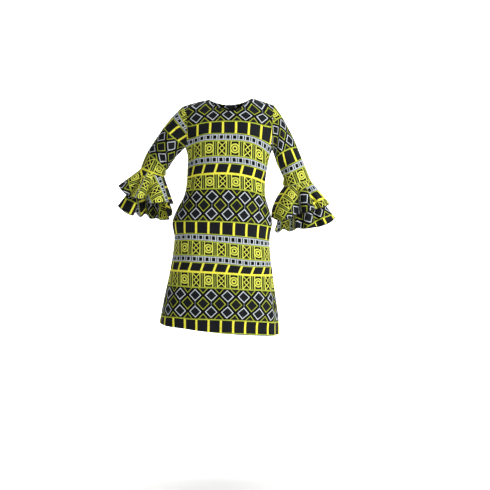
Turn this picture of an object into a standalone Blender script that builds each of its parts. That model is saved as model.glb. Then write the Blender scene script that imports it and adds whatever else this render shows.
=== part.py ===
# Shift dress in printed cotton, with a round neck, side pockets and elbow sleeves.
# Each sleeve ends in two flared tiers. The dress holds its hollow worn form.
# The origin lies midway between the shoulders, level with the neck points.
# +Z is up and the front faces -Y. Left means -X. Table lengths are millimetres.

import math

import bpy
import numpy as np

MM = 0.001

# Cloth and seams
WALL = 1.5
SEAM_GAP = 0.3
ARMHOLE_GAP = 0.7
CUFF_GAP = 0.4
TIER_GAP = 0.4
TIER_CLEARANCE = 1.2
COVER_REACH = 9
LEAST_REACH = 5

# Torso form: the side seams and the depth in front of and behind them
SECTION_COLUMNS = ("height", "left", "right", "front", "back")
SECTIONS = (
    (-860, -270, 178, 149, 152),
    (-785, -253, 173, 142, 145),
    (-700, -236, 162, 133, 137),
    (-620, -218, 151, 125, 131),
    (-545, -205, 142, 118, 127),
    (-485, -200, 141, 113, 124),
    (-435, -206, 149, 109, 119),
    (-390, -190, 138, 104, 108),
    (-345, -166, 125, 99, 95),
    (-300, -156, 124, 97, 87),
    (-250, -153, 130, 101, 87),
    (-200, -152, 141, 107, 92),
    (-150, -167, 160, 105, 95),
    (-100, -181, 169, 98, 95),
    (-50, -187, 174, 90, 93),
    (0, -190, 177, 84, 90),
    (40, -192, 180, 80, 88),
)
SECTION_SQUARENESS = 2.3

# Shoulder ridge, where the front and the back meet over the shoulders
RIDGE_COLUMNS = ("across", "height")
RIDGE = (
    (-190, -35),
    (-169, -27),
    (-120, -12),
    (-76, -2),
    (-38, 8),
    (0, 13),
    (38, 11),
    (76, 3),
    (115, -9),
    (155, -23),
    (175, -31),
)
FRONT_ROUNDING = 150
BACK_ROUNDING = 125

# Armhole: how far across it lies, by its share of the rise from underarm to shoulder tip
ARMHOLE_COLUMNS = ("rise", "left", "right")
ARMHOLE = (
    (0.1, -152.5, 142.5),
    (0.25, -151.5, 145),
    (0.5, -151, 147.5),
    (0.75, -152, 149.5),
    (0.9, -158, 151.5),
    (1, -169, 155),
)
UNDERARM_LEFT = -172
UNDERARM_RIGHT = -181

# Neckline
NECK_HALF_WIDTH = 76
FRONT_NECK_DROP = 47
BACK_NECK_DROP = 18

# Hem, which runs lower on the right
HEM_LEFT = -793
HEM_RIGHT = -835

# Mesh rows of the torso panels between hem and underarm, and their columns
LEVELS = (
    -770, -725, -680, -635, -590, -550, -525, -490, -455,
    -420, -385, -345, -305, -265, -225,
)
ARMHOLE_ROWS = 12
TORSO_COLUMNS = 24
NECK_COLUMNS = (6, 18)

# Skirt folds: where they lie round the section, their spread, height and upper end
FOLD_COLUMNS = ("turn", "spread", "rise", "top")
FOLDS = (
    (-142, 11, 6, -460),
    (-122, 9, -5, -520),
    (-84, 10, 4, -560),
    (-60, 9, -4, -540),
    (-36, 10, 6, -500),
    (-20, 7, -5, -520),
    (24, 10, 7, -450),
    (46, 9, -7, -480),
    (68, 9, 7, -430),
    (112, 9, 7, -430),
    (134, 9, -7, -480),
    (156, 10, 6, -450),
)

# Side pockets: the mouth is part of the side seam
POCKET_MIDDLE = -455
POCKET_HALF_MOUTH = 70
POCKET_OPENING = 22
POCKET_WALL = 1.0
POCKET_POINTS = 16
POCKET_ARC_RADIUS = 105
POCKET_COLUMNS = ("along", "height", "half_height", "half_thickness", "inset")
POCKET = (
    (0, -455, 62, 5.6, 2.7),
    (18, -460, 68, 5.8, 13),
    (34, -470, 82, 6.6, 13),
    (60, -488, 96, 6.4, 13),
    (88, -502, 98, 6.0, 12.5),
    (112, -512, 84, 5.2, 12),
    (128, -520, 58, 4.2, 11),
)

# Sleeves: the outer and the inner edge of each ring, its middle and its half depth
SLEEVE_COLUMNS = (
    "along", "outer_x", "outer_z", "inner_x", "inner_z", "middle_y", "half_depth",
)
SLEEVE_LEFT = (
    (0.14, -200, -57, -174, -186, 1, 50),
    (0.28, -228, -89, -188, -201, 5, 51),
    (0.5, -267, -143, -206, -222, 14, 49),
    (0.75, -301, -195, -221, -247, 24, 45),
    (1, -322.5, -246, -236.5, -274.5, 30, 42),
)
SLEEVE_RIGHT = (
    (0.14, 178, -53, 151, -186, 1, 50),
    (0.28, 197, -86, 156, -205, 5, 52),
    (0.5, 227, -143, 167.5, -234, 14, 50),
    (0.75, 256, -212, 181.5, -266, 24, 46),
    (1, 286, -284.5, 190.5, -310, 30, 44),
)
SLEEVE_RINGS = 9
CUFF_TILT = 0.1
CREASE_START = 0.15
CREASE_END = 0.06

# Sleeve creases: place along, turn round the ring, spread of each, depth
CREASE_COLUMNS = ("along", "turn", "spread", "turn_spread", "depth")
SLEEVE_CREASES = (
    (0.3, 135, 0.09, 45, -5),
    (0.62, 230, 0.08, 40, -4),
    (0.84, 150, 0.07, 70, -5),
    (0.94, 210, 0.05, 60, 3),
)

# Flared tiers: the hem round each one, from the middle of its elbow seam.
# Rows run from the side by the body over the back, the outer side and the front.
# bulge moves the middle of a ruling outwards and sink moves it along the sleeve.
TIER_COLUMNS = ("x", "y", "z", "bulge", "sink")
UPPER_LEFT = (
    (76, 5, -111, 0, 2),
    (58, 36, -112, -3, 3),
    (62, 76, -94, 0, 4),
    (28, 66, -104, -4, 3),
    (8, 104, -86, 0, 4),
    (-20, 76, -96, -4, 3),
    (-50, 98, -74, 0, 4),
    (-70, 62, -80, -4, 3),
    (-106, 50, -54, 0, 4),
    (-100, 22, -64, -3, 2),
    (-121, -8, -45, 0, 1),
    (-97, -46, -71, 0, 2),
    (-83, -40, -84, -3, 3),
    (-64, -78, -88, 2, 3),
    (-42, -80, -92, 2, 3),
    (-24, -50, -93, -4, 3),
    (-3, -82, -109, 2, 3),
    (21, -86, -107, 3, 3),
    (46, -68, -104, 3, 3),
    (64, -30, -107, 0, 2),
)
LOWER_LEFT = (
    (70, 14, -150, -4, 4),
    (52, 38, -162, -8, 4),
    (56, 68, -171, -8, 4),
    (26, 46, -172, -10, 4),
    (8, 82, -168, -8, 6),
    (-12, 54, -168, -12, 4),
    (-34, 90, -152, -8, 6),
    (-50, 58, -162, -12, 4),
    (-80, 80, -136, -8, 6),
    (-86, 48, -148, -12, 4),
    (-117, 42, -118, -8, 5),
    (-108, 20, -132, -10, 4),
    (-125, -4, -118, -8, 4),
    (-103, -28, -136, -8, 4),
    (-86, -38, -146, -8, 4),
    (-66, -38, -152, -6, 6),
    (-58, -30, -112, 4, 14),
    (-34, -30, -88, 8, 22),
    (0, -36, -82, 8, 24),
    (30, -34, -84, 8, 22),
    (56, -14, -104, 4, 12),
)
UPPER_RIGHT = (
    (-91, 2, -120, 27, 2),
    (-73, 36, -121, 10, 3),
    (-74, 74, -106, 2, 4),
    (-38, 66, -114, -4, 3),
    (-14, 106, -94, 0, 4),
    (16, 76, -104, -4, 3),
    (50, 100, -82, 0, 4),
    (66, 62, -90, -4, 3),
    (104, 52, -68, 0, 4),
    (98, 22, -78, -3, 2),
    (117, -8, -73, 0, 1),
    (104, -36, -81, 0, 2),
    (88, -54, -87, 1, 2),
    (72, -42, -92, -3, 3),
    (54, -74, -94, 2, 3),
    (27, -74, -104, 2, 3),
    (8, -48, -110, -4, 3),
    (-11, -64, -112, 0, 3),
    (-31, -86, -125, 4, 3),
    (-54, -84, -132, 12, 3),
    (-82, -46, -127, 24, 3),
)
LOWER_RIGHT = (
    (-78, 12, -174, -4, 4),
    (-64, 34, -180, -8, 4),
    (-50, 28, -168, -12, 4),
    (-24, 58, -178, -10, 6),
    (-8, 42, -172, -14, 4),
    (12, 84, -162, -8, 6),
    (36, 56, -166, -12, 4),
    (62, 86, -146, -8, 6),
    (74, 54, -154, -12, 4),
    (114, 56, -126, -8, 6),
    (110, 26, -138, -10, 4),
    (137, -6, -124, -6, 4),
    (117, -34, -140, -6, 4),
    (94, -48, -149, -6, 4),
    (78, -38, -155, -10, 4),
    (60, -62, -156, -6, 5),
    (35, -62, -160, -6, 5),
    (18, -42, -162, -10, 4),
    (0, -54, -159, -6, 5),
    (-14, -46, -160, -6, 6),
    (-22, -36, -126, 4, 12),
    (-42, -34, -108, 8, 16),
    (-64, -14, -134, 2, 8),
)
TIER_POINTS = 48
UPPER_RINGS = 6
LOWER_RINGS = 9

# Centre-back zip
ZIP_TOP = -19
ZIP_BOTTOM = -425
SLIDER_TOP = -26
TAPE_HALF_WIDTH = 12
TAPE_WALL = 1.0
TAPE_GAP = 0.4
SLIDER_WIDTH = 7
SLIDER_LENGTH = 9
SLIDER_THICKNESS = 2.4
LUG_THICKNESS = 1.1
LUG_LENGTH = 2.6
LUG_HEIGHT = 2.2
LUG_ROOT = 0.5
HINGE_HEIGHT = 4.3
BARREL_RADIUS = 0.9
BARREL_HALF = 1.6
LUG_CLEARANCE = 0.35
PULL_LENGTH = 21
PULL_NECK = 3.0
PULL_WIDTH = 6.5
PULL_THICKNESS = 1.1
PULL_END_STEPS = 8
ZIP_STEP = 2.0

CLOTH_COLOUR = (0.11, 0.13, 0.04, 1)
LINING_COLOUR = (0.02, 0.02, 0.025, 1)
METAL_COLOUR = (0.03, 0.03, 0.032, 1)
CLOTH_ROUGHNESS = 0.8
LINING_ROUGHNESS = 0.85
METAL_ROUGHNESS = 0.35
METALLIC = 0.8
SHARP_ANGLE = 40


def column(table, names, name):
    return np.array([row[names.index(name)] for row in table], float)


def through(keys, values, at):
    """A smooth curve through a table's values, read at one key or many."""
    slopes = np.gradient(values, keys)
    at = np.clip(np.asarray(at, float), keys[0], keys[-1])
    i = np.clip(np.searchsorted(keys, at, side="right") - 1, 0, len(keys) - 2)
    span = keys[i + 1] - keys[i]
    s = (at - keys[i]) / span
    start = (1 + 2 * s) * (1 - s) ** 2 * values[i] + s * (1 - s) ** 2 * span * slopes[i]
    end = s**2 * (3 - 2 * s) * values[i + 1] + s**2 * (s - 1) * span * slopes[i + 1]
    return start + end


def around(keys, values, at, turn=360.0):
    """The same for a table that closes on itself after one turn."""
    keys = np.concatenate([keys[-3:] - turn, keys, keys[:3] + turn])
    values = np.concatenate([values[-3:], values, values[:3]])
    return through(keys, values, at)


def section(name, height):
    return through(
        column(SECTIONS, SECTION_COLUMNS, "height"),
        column(SECTIONS, SECTION_COLUMNS, name),
        height,
    )


def middle_and_half(height):
    left, right = section("left", height), section("right", height)
    return (left + right) / 2, (right - left) / 2


def ridge(across):
    return through(
        column(RIDGE, RIDGE_COLUMNS, "across"), column(RIDGE, RIDGE_COLUMNS, "height"), across
    )


def unit(vectors):
    return vectors / np.maximum(np.linalg.norm(vectors, axis=-1, keepdims=True), 1e-12)


def smooth_step(x):
    x = np.clip(x, 0, 1)
    return x * x * (3 - 2 * x)


def pocket_opening(height):
    """The width of the slit in the side seam: a seam's gap, and wider at the pocket."""
    share = np.clip((height - POCKET_MIDDLE) / POCKET_HALF_MOUTH, -1, 1)
    return SEAM_GAP + POCKET_OPENING * np.cos(share * math.pi / 2) ** 2


def torso_point(turn, height, side):
    """A point of the front (side -1) or the back (side 1), turn being -90 to 90 degrees."""
    middle, half = middle_and_half(height)
    across = np.sin(np.radians(turn))
    x = middle + half * across
    shape = np.clip(1 - np.abs(across) ** SECTION_SQUARENESS, 0, 1)
    shape = shape ** (1 / SECTION_SQUARENESS)
    rounding = FRONT_ROUNDING if side < 0 else BACK_ROUNDING
    below = np.clip((ridge(x) - height) / rounding, 0, 1)
    round_over = np.sqrt(1 - (1 - below) ** 2)
    depth = section("front" if side < 0 else "back", height)
    parting = pocket_opening(height) / 2
    y = side * (depth * shape * round_over + parting * (1 - shape) ** 2)
    folded = np.degrees(np.arctan2(y / depth, (x - middle) / half))
    outward = np.zeros_like(x)
    for at, spread, rise, top in FOLDS:
        off = (folded - at + 180) % 360 - 180
        below_top = smooth_step((top - height) / (top - HEM_RIGHT))
        outward = outward + rise * below_top * np.exp(-((off / spread) ** 2))
    away = np.hypot(x - middle, y)
    x = x + outward * (x - middle) / away
    y = y + outward * y / away
    return np.stack([x, y, height + 0 * x], -1)


def edge_turns(height, rise):
    """The turns at which a row meets the left and the right armhole edge."""
    middle, half = middle_and_half(height)
    turns = []
    for name, way in (("left", -1), ("right", 1)):
        rises = np.concatenate([[0], column(ARMHOLE, ARMHOLE_COLUMNS, "rise")])
        start = section(name, UNDERARM_LEFT if way < 0 else UNDERARM_RIGHT)
        across = np.concatenate([[start], column(ARMHOLE, ARMHOLE_COLUMNS, name)])
        x = through(rises, across, rise)
        turns.append(math.degrees(math.asin(np.clip((x - middle) / half, -1, 1))))
    return turns


def neck_height(x, drop):
    """The height of the neckline between the two neck points."""
    share = np.clip(x / NECK_HALF_WIDTH, -1, 1)
    level = ridge(-NECK_HALF_WIDTH) * (1 - share) / 2 + ridge(NECK_HALF_WIDTH) * (1 + share) / 2
    return level - drop * (1 - share**2)


def torso_grid(side, drop, columns, neck_columns):
    """Rows of points from the hem up to the shoulder seams and the neckline."""
    even = np.linspace(0, 1, columns + 1)
    hem = HEM_LEFT + (HEM_RIGHT - HEM_LEFT) * (1 + np.sin(np.radians(180 * even - 90))) / 2
    underarm = UNDERARM_LEFT + (UNDERARM_RIGHT - UNDERARM_LEFT) * even
    rows = [torso_point(180 * even - 90, hem, side)]
    for level in LEVELS:
        rows.append(torso_point(180 * even - 90, level + 0 * even, side))
    tips = ARMHOLE[-1][1], ARMHOLE[-1][2]
    ends = [0, *neck_columns, columns]
    places = [tips[0], -NECK_HALF_WIDTH, NECK_HALF_WIDTH, tips[1]]
    top_x = np.interp(np.arange(columns + 1), ends, places)
    top_z = ridge(top_x)
    in_neck = slice(neck_columns[0], neck_columns[1] + 1)
    top_z[in_neck] = neck_height(top_x[in_neck], drop)
    top_middle, top_half = middle_and_half(top_z)
    top_turn = np.degrees(np.arcsin((top_x - top_middle) / top_half))
    top_edges = top_turn[0], top_turn[-1]
    for row in range(ARMHOLE_ROWS + 1):
        share = row / ARMHOLE_ROWS
        rise = (1 - math.cos(math.pi * share)) / 2
        heights = underarm + (top_z - underarm) * rise
        left = edge_turns(heights[0], rise)[0]
        right = edge_turns(heights[-1], rise)[1]
        turn = left + (right - left) * even
        turn = turn + rise * (top_turn - top_edges[0] - (top_edges[1] - top_edges[0]) * even)
        rows.append(torso_point(turn, heights, side))
    grid = np.array(rows)
    on_ridge = np.abs(grid[-1, :, 1]) < SEAM_GAP / 2
    grid[-1, on_ridge, 1] = side * SEAM_GAP / 2
    return grid


def grid_normals(grid, closed):
    """The outward direction at each point of a grid of rows round an axis or across a panel."""
    if closed:
        across = np.roll(grid, -1, 1) - np.roll(grid, 1, 1)
    else:
        across = np.gradient(grid, axis=1)
    return unit(np.cross(across, np.gradient(grid, axis=0)))


def faced(points, faces):
    """The faces, turned round where they would make the solid inside out."""
    corners = points[faces]
    volume = np.einsum("ij,ij->", corners[:, 0], np.cross(corners[:, 1], corners[:, 2]))
    return faces if volume > 0 else faces[:, ::-1]


def two_triangles(a, b, c, d):
    return [(a, b, c), (a, c, d)]


def panel(outer, inner):
    """A wall between two grids of points, closed round its four edges."""
    rows, columns = outer.shape[:2]
    points = np.concatenate([outer.reshape(-1, 3), inner.reshape(-1, 3)])
    back = rows * columns
    at = np.arange(back).reshape(rows, columns)
    faces = []
    for i in range(rows - 1):
        for j in range(columns - 1):
            quad = at[i, j], at[i, j + 1], at[i + 1, j + 1], at[i + 1, j]
            faces += two_triangles(*quad)
            faces += two_triangles(*(back + q for q in quad[::-1]))
    rim = [*at[0, :], *at[1:, -1], *at[-1, -2::-1], *at[-2:0:-1, 0]]
    for a, b in zip(rim, rim[1:] + rim[:1]):
        faces += two_triangles(b, a, back + a, back + b)
    return points, faced(points, np.array(faces))


def tube(outer, inner, capped=False):
    """A wall between two stacks of rings, open at both ends or capped at the last ring."""
    rings, count = outer.shape[:2]
    points = [outer.reshape(-1, 3), inner.reshape(-1, 3)]
    back = rings * count
    faces = []
    for i in range(rings - 1):
        for j in range(count):
            k = (j + 1) % count
            quad = i * count + j, i * count + k, (i + 1) * count + k, (i + 1) * count + j
            faces += two_triangles(*quad)
            faces += two_triangles(*(back + q for q in quad[::-1]))
    last = (rings - 1) * count
    for j in range(count):
        k = (j + 1) % count
        faces += two_triangles(k, j, back + j, back + k)
        if not capped:
            faces += two_triangles(last + j, last + k, back + last + k, back + last + j)
    if capped:
        points += [outer[-1].mean(0)[None], inner[-1].mean(0)[None]]
        for j in range(count):
            k = (j + 1) % count
            faces.append((last + j, last + k, 2 * back))
            faces.append((back + last + k, back + last + j, 2 * back + 1))
    points = np.concatenate(points)
    return points, faced(points, np.array(faces))


def box_mesh(low, high):
    ends = [(low[axis], high[axis]) for axis in range(3)]
    corners = [(x, y, z) for x in ends[0] for y in ends[1] for z in ends[2]]
    faces = (
        (0, 1, 3), (0, 3, 2), (4, 6, 7), (4, 7, 5), (0, 4, 5), (0, 5, 1),
        (2, 3, 7), (2, 7, 6), (0, 2, 6), (0, 6, 4), (1, 5, 7), (1, 7, 3),
    )
    points = np.array(corners, float)
    return points, faced(points, np.array(faces))


def material(name, colour, roughness, metallic=0.0):
    made = bpy.data.materials.new(name)
    made.use_nodes = True
    shader = made.node_tree.nodes["Principled BSDF"]
    shader.inputs["Base Color"].default_value = colour
    shader.inputs["Roughness"].default_value = roughness
    shader.inputs["Metallic"].default_value = metallic
    return made


def solid(name, shape, colour, roughness, metallic=0.0, origin=(0, 0, 0)):
    points, faces = shape
    origin = np.array(origin, float)
    mesh = bpy.data.meshes.new(name)
    mesh.from_pydata(((points - origin) * MM).tolist(), [], faces.tolist())
    mesh.polygons.foreach_set("use_smooth", [True] * len(faces))
    mesh.set_sharp_from_angle(angle=math.radians(SHARP_ANGLE))
    mesh.materials.append(material(name, colour, roughness, metallic))
    made = bpy.data.objects.new(name, mesh)
    made.location = origin * MM
    bpy.context.scene.collection.objects.link(made)
    return made


def torso_walls(side, grid):
    """The outer and the inner face of a torso panel."""
    normals = grid_normals(grid, False)
    normals = normals * np.sign((normals[:, :, 1] * side).sum())
    for edge in (0, -1):
        low = len(LEVELS) + 2
        flat = normals[:low, edge] * (1, 0, 1)
        normals[:low, edge] = unit(flat)
        normals[-1, edge] = (0, 0, 1)
    normals[-1] = np.where(np.abs(grid[-1, :, 1:2]) <= SEAM_GAP, (0, 0, 1), normals[-1])
    return grid, grid - WALL * normals


def armhole_loop(front, back, edge):
    """The armhole's points from the shoulder tip down the back and up the front."""
    first = len(LEVELS) + 1
    up_front = front[first:, edge]
    up_back = back[first:, edge]
    top = (up_front[-1] + up_back[-1]) / 2
    bottom = (up_front[0] + up_back[0]) / 2
    return np.array([top, *up_back[-2:0:-1], bottom, *up_front[1:-1]])


def armhole_away(front, back, edge, way):
    """The direction from each point of the armhole out of the panel it edges."""
    first = len(LEVELS) + 1
    beside = 1 if edge == 0 else -2
    found = []
    for grid in (front, back):
        out = grid[first:, edge] - grid[first:, beside]
        run = unit(np.gradient(grid[first:, edge], axis=0))
        found.append(unit(out - (out * run).sum(1, keepdims=True) * run))
    up_front, up_back = found
    top, bottom = np.array([way, 0, 0]), np.array([way, 0, 1])
    return np.array([top, *up_back[-2:0:-1], bottom, *up_front[1:-1]])


def ring_frame(table, along):
    """The middle, the half width and the half depth of a sleeve's ring."""
    read = {
        name: through(
            column(table, SLEEVE_COLUMNS, "along"), column(table, SLEEVE_COLUMNS, name), along
        )
        for name in SLEEVE_COLUMNS[1:]
    }
    outer = np.array([read["outer_x"], read["middle_y"], read["outer_z"]])
    inner = np.array([read["inner_x"], read["middle_y"], read["inner_z"]])
    return (outer + inner) / 2, (outer - inner) / 2, read["half_depth"]


def sleeve_ring(table, along, turns):
    centre, half, depth = ring_frame(table, along)
    tilt = np.array([0, 1, CUFF_TILT * along])
    ring = centre + np.cos(turns)[:, None] * half + depth * np.sin(turns)[:, None] * tilt
    push = np.zeros(len(turns))
    for at, turn, spread, turn_spread, deep in SLEEVE_CREASES:
        off = (np.degrees(turns) - turn + 180) % 360 - 180
        near = math.exp(-(((along - at) / spread) ** 2))
        push += deep * near * np.exp(-((off / turn_spread) ** 2))
    push *= smooth_step((1 - along) / CREASE_END) * smooth_step(along / CREASE_START)
    return ring + push[:, None] * unit(ring - centre)


def sleeve_grid(table, loop):
    """Rings from just outside the armhole to the elbow seam."""
    turns = np.radians(np.arange(len(loop)) * 360 / len(loop))
    first = column(table, SLEEVE_COLUMNS, "along")[0]
    rings = [loop]
    for along in np.linspace(0, 1, SLEEVE_RINGS + 1)[1:]:
        ring = sleeve_ring(table, max(along, first), turns)
        if along < first:
            ring = loop + (ring - loop) * along / first
        rings.append(ring)
    return np.array(rings)


def outward_normals(grid):
    """Normals of a stack of rings, pointing away from each ring's middle."""
    normals = grid_normals(grid, True)
    out = (normals * (grid - grid.mean(1, keepdims=True))).sum()
    return normals * np.sign(out)


def cuff_axes(table):
    """The elbow seam's middle and its axes: to the body, to the back and down the sleeve."""
    centre, half, depth = ring_frame(table, 1)
    inward = -unit(half)
    back = unit(np.array([0, 1, CUFF_TILT]))
    back = unit(back - inward * (back @ inward))
    down = np.cross(inward, back)
    down = down * np.sign(-down[2])
    return centre, np.linalg.norm(half), depth, inward, back, down


def tier_grid(sleeve, table, inset, gap, rings):
    """Rings of one flared tier, from its elbow seam to its hem."""
    centre, half, depth, inward, back, down = cuff_axes(sleeve)
    hem = np.array([row[:3] for row in table], float)
    lengths = np.linalg.norm(np.roll(hem, -1, 0) - hem, axis=1)
    keys = np.concatenate([[0], np.cumsum(lengths)[:-1]]) * 360 / lengths.sum()
    turns = np.arange(TIER_POINTS) * 360 / TIER_POINTS
    read = {
        name: around(keys, column(table, TIER_COLUMNS, name), turns) for name in TIER_COLUMNS
    }
    end = centre + np.stack([read["x"], read["y"], read["z"]], -1)
    round_it = np.radians(turns)[:, None]
    out = np.cos(round_it) * inward + np.sin(round_it) * back
    start = (
        centre
        + gap * down
        + np.cos(round_it) * (half - inset) * inward
        + np.sin(round_it) * (depth - inset) * back
    )
    control = (start + end) / 2 + read["bulge"][:, None] * out + read["sink"][:, None] * down
    grid = []
    for s in np.linspace(0, 1, rings + 1):
        grid.append((1 - s) ** 2 * start + 2 * s * (1 - s) * control + s**2 * end)
    return np.array(grid)


def to_cuff(points, sleeve):
    """Points as turn round the elbow seam's axis, reach from it and drop along it."""
    centre, _, _, inward, back, down = cuff_axes(sleeve)
    off = points - centre
    x, y = off @ inward, off @ back
    return np.arctan2(y, x), np.hypot(x, y), off @ down


def kept_inside(grid, cover, sleeve, gap):
    """The grid, drawn in wherever it would come closer to its cover than the gap."""
    centre, _, _, inward, back, down = cuff_axes(sleeve)
    turn, reach, drop = to_cuff(grid, sleeve)
    cover_turn, cover_reach, cover_drop = (a.ravel() for a in to_cuff(cover, sleeve))
    flat = grid.reshape(-1, 3).copy()
    size = grid.shape[1]
    for n, (t, r, d) in enumerate(zip(turn.ravel(), reach.ravel(), drop.ravel())):
        if n < size:
            continue
        off = np.abs((cover_turn - t + math.pi) % (2 * math.pi) - math.pi) * r
        distance = np.hypot(off, cover_drop - d)
        near = distance < COVER_REACH
        if near.any():
            limit = cover_reach[near].min() - gap
            if r > limit:
                fall = ((flat[n] - centre) @ down) * down
                from_axis = flat[n] - centre - fall
                flat[n] = centre + fall + from_axis * max(limit, LEAST_REACH) / r
    return flat.reshape(grid.shape)


def finer(grid, times):
    """A closed stack of rings with more rings and points between the given ones."""
    rings, count = grid.shape[:2]
    along = np.linspace(0, rings - 1, (rings - 1) * times + 1)
    low = np.minimum(along.astype(int), rings - 2)
    part = (along - low)[:, None, None]
    rows = grid[low] * (1 - part) + grid[low + 1] * part
    at = np.arange(count * times) / times
    left = at.astype(int) % count
    share = (at - at.astype(int))[None, :, None]
    return rows[:, left] * (1 - share) + rows[:, (left + 1) % count] * share


def pocket_grid(way):
    """Rings of a pocket bag, from its mouth in the side seam forwards inside the front."""
    names = POCKET_COLUMNS
    along = column(POCKET, names, "along")
    rings, cavity = [], []
    turns = np.radians(np.arange(POCKET_POINTS) * 360 / POCKET_POINTS)
    for row in range(len(POCKET)):
        middle_z, half_z, half_y, inset = (
            POCKET[row][names.index(n)] for n in ("height", "half_height", "half_thickness", "inset")
        )
        for store, shrink in ((rings, 0), (cavity, POCKET_WALL)):
            z = middle_z + (half_z - shrink) * np.sin(turns)
            middle, half = middle_and_half(z)
            front = section("front", z)
            end_wall = shrink if row == len(POCKET) - 1 else 0
            angle = (along[row] - end_wall) / POCKET_ARC_RADIUS
            centre_x = middle + way * (half - inset) * np.cos(angle)
            centre_y = -(front - inset) * np.sin(angle)
            slope = unit(np.stack([way * front * np.cos(angle), -half * np.sin(angle)], -1))
            thick = (half_y - shrink) * np.cos(turns)
            if row == 0:
                x, y = centre_x, centre_y - thick
            else:
                x = centre_x + slope[:, 0] * thick
                y = centre_y + slope[:, 1] * thick
            store.append(np.stack([x, y, z], -1))
    return np.array(rings), np.array(cavity)


def tape_grid(back, inner, depth_in):
    """Rows of the zip tape, lying flat inside the back on both sides of its middle seam."""
    seam = back.shape[1] // 2
    rows = []
    for outer_row, inner_row in zip(back, inner):
        if not ZIP_BOTTOM <= outer_row[seam, 2] <= ZIP_TOP:
            continue
        middle = outer_row[seam]
        inward = unit(inner_row[seam] - middle)
        left = middle + unit(outer_row[seam - 1] - middle) * TAPE_HALF_WIDTH
        right = middle + unit(outer_row[seam + 1] - middle) * TAPE_HALF_WIDTH
        rows.append(np.array([left, middle, right]) + depth_in * inward)
    return np.array(rows)


def on_zip(points, height):
    """Points in millimetres right, out and up along the back's middle, put in their place."""
    above = torso_point(np.zeros(1), np.array([height + ZIP_STEP]), 1)[0]
    below = torso_point(np.zeros(1), np.array([height - ZIP_STEP]), 1)[0]
    here = torso_point(np.zeros(1), np.array([float(height)]), 1)[0]
    up = unit(above - below)
    up = unit(up * (0, 1, 1))
    right = np.array([1.0, 0, 0])
    out = np.cross(up, right)
    out = out * np.sign(out[1])
    return here + points[:, :1] * right + points[:, 1:2] * out + points[:, 2:] * up


def outline_plate(outline, low, high):
    """A flat plate with the given outline in x and z, between two values of y."""
    flat = np.array([*outline, np.mean(outline, 0)], float)
    count = len(outline)
    points = np.concatenate([np.insert(flat, 1, low, axis=1), np.insert(flat, 1, high, axis=1)])
    above = count + 1
    faces = []
    for i in range(count):
        j = (i + 1) % count
        faces.append((i, j, count))
        faces.append((above + j, above + i, above + count))
        faces += two_triangles(j, i, above + i, above + j)
    return points, faced(points, np.array(faces))


def slider_shape():
    """The slider's block and the two lugs that stand on it."""
    low = TAPE_GAP
    top = low + SLIDER_THICKNESS
    half = SLIDER_LENGTH / 2
    lug = LUG_LENGTH / 2
    width = SLIDER_WIDTH / 2
    inner = BARREL_HALF + LUG_CLEARANCE
    outer = inner + LUG_THICKNESS
    block = box_mesh((-width, low, -half), (width, top, half))
    lugs = [
        box_mesh((inner, top - LUG_ROOT, -lug), (outer, top + LUG_HEIGHT, lug)),
        box_mesh((-outer, top - LUG_ROOT, -lug), (-inner, top + LUG_HEIGHT, lug)),
    ]
    return block, lugs


def pull_outline():
    """The pull tab's outline from its barrel down to its rounded end."""
    neck = BARREL_HALF
    half = PULL_WIDTH / 2
    left = [(-neck, BARREL_RADIUS), (-neck, -PULL_NECK)]
    for step in range(PULL_END_STEPS + 1):
        angle = math.pi * (1 + step / PULL_END_STEPS)
        left.append((half * math.cos(angle), -PULL_LENGTH + half + half * math.sin(angle)))
    right = [(neck, -PULL_NECK), (neck, BARREL_RADIUS)]
    return left + right


def joined(name, parts):
    """One solid out of a body and pieces that overlap it."""
    base = solid(name, parts[0], METAL_COLOUR, METAL_ROUGHNESS, METALLIC)
    for number, piece in enumerate(parts[1:]):
        extra = solid(f"{name}_piece{number}", piece, METAL_COLOUR, METAL_ROUGHNESS, METALLIC)
        extra.hide_render = True
        extra.display_type = "WIRE"
        union = base.modifiers.new(f"join{number}", "BOOLEAN")
        union.operation = "UNION"
        union.solver = "EXACT"
        union.object = extra
    return base


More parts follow.
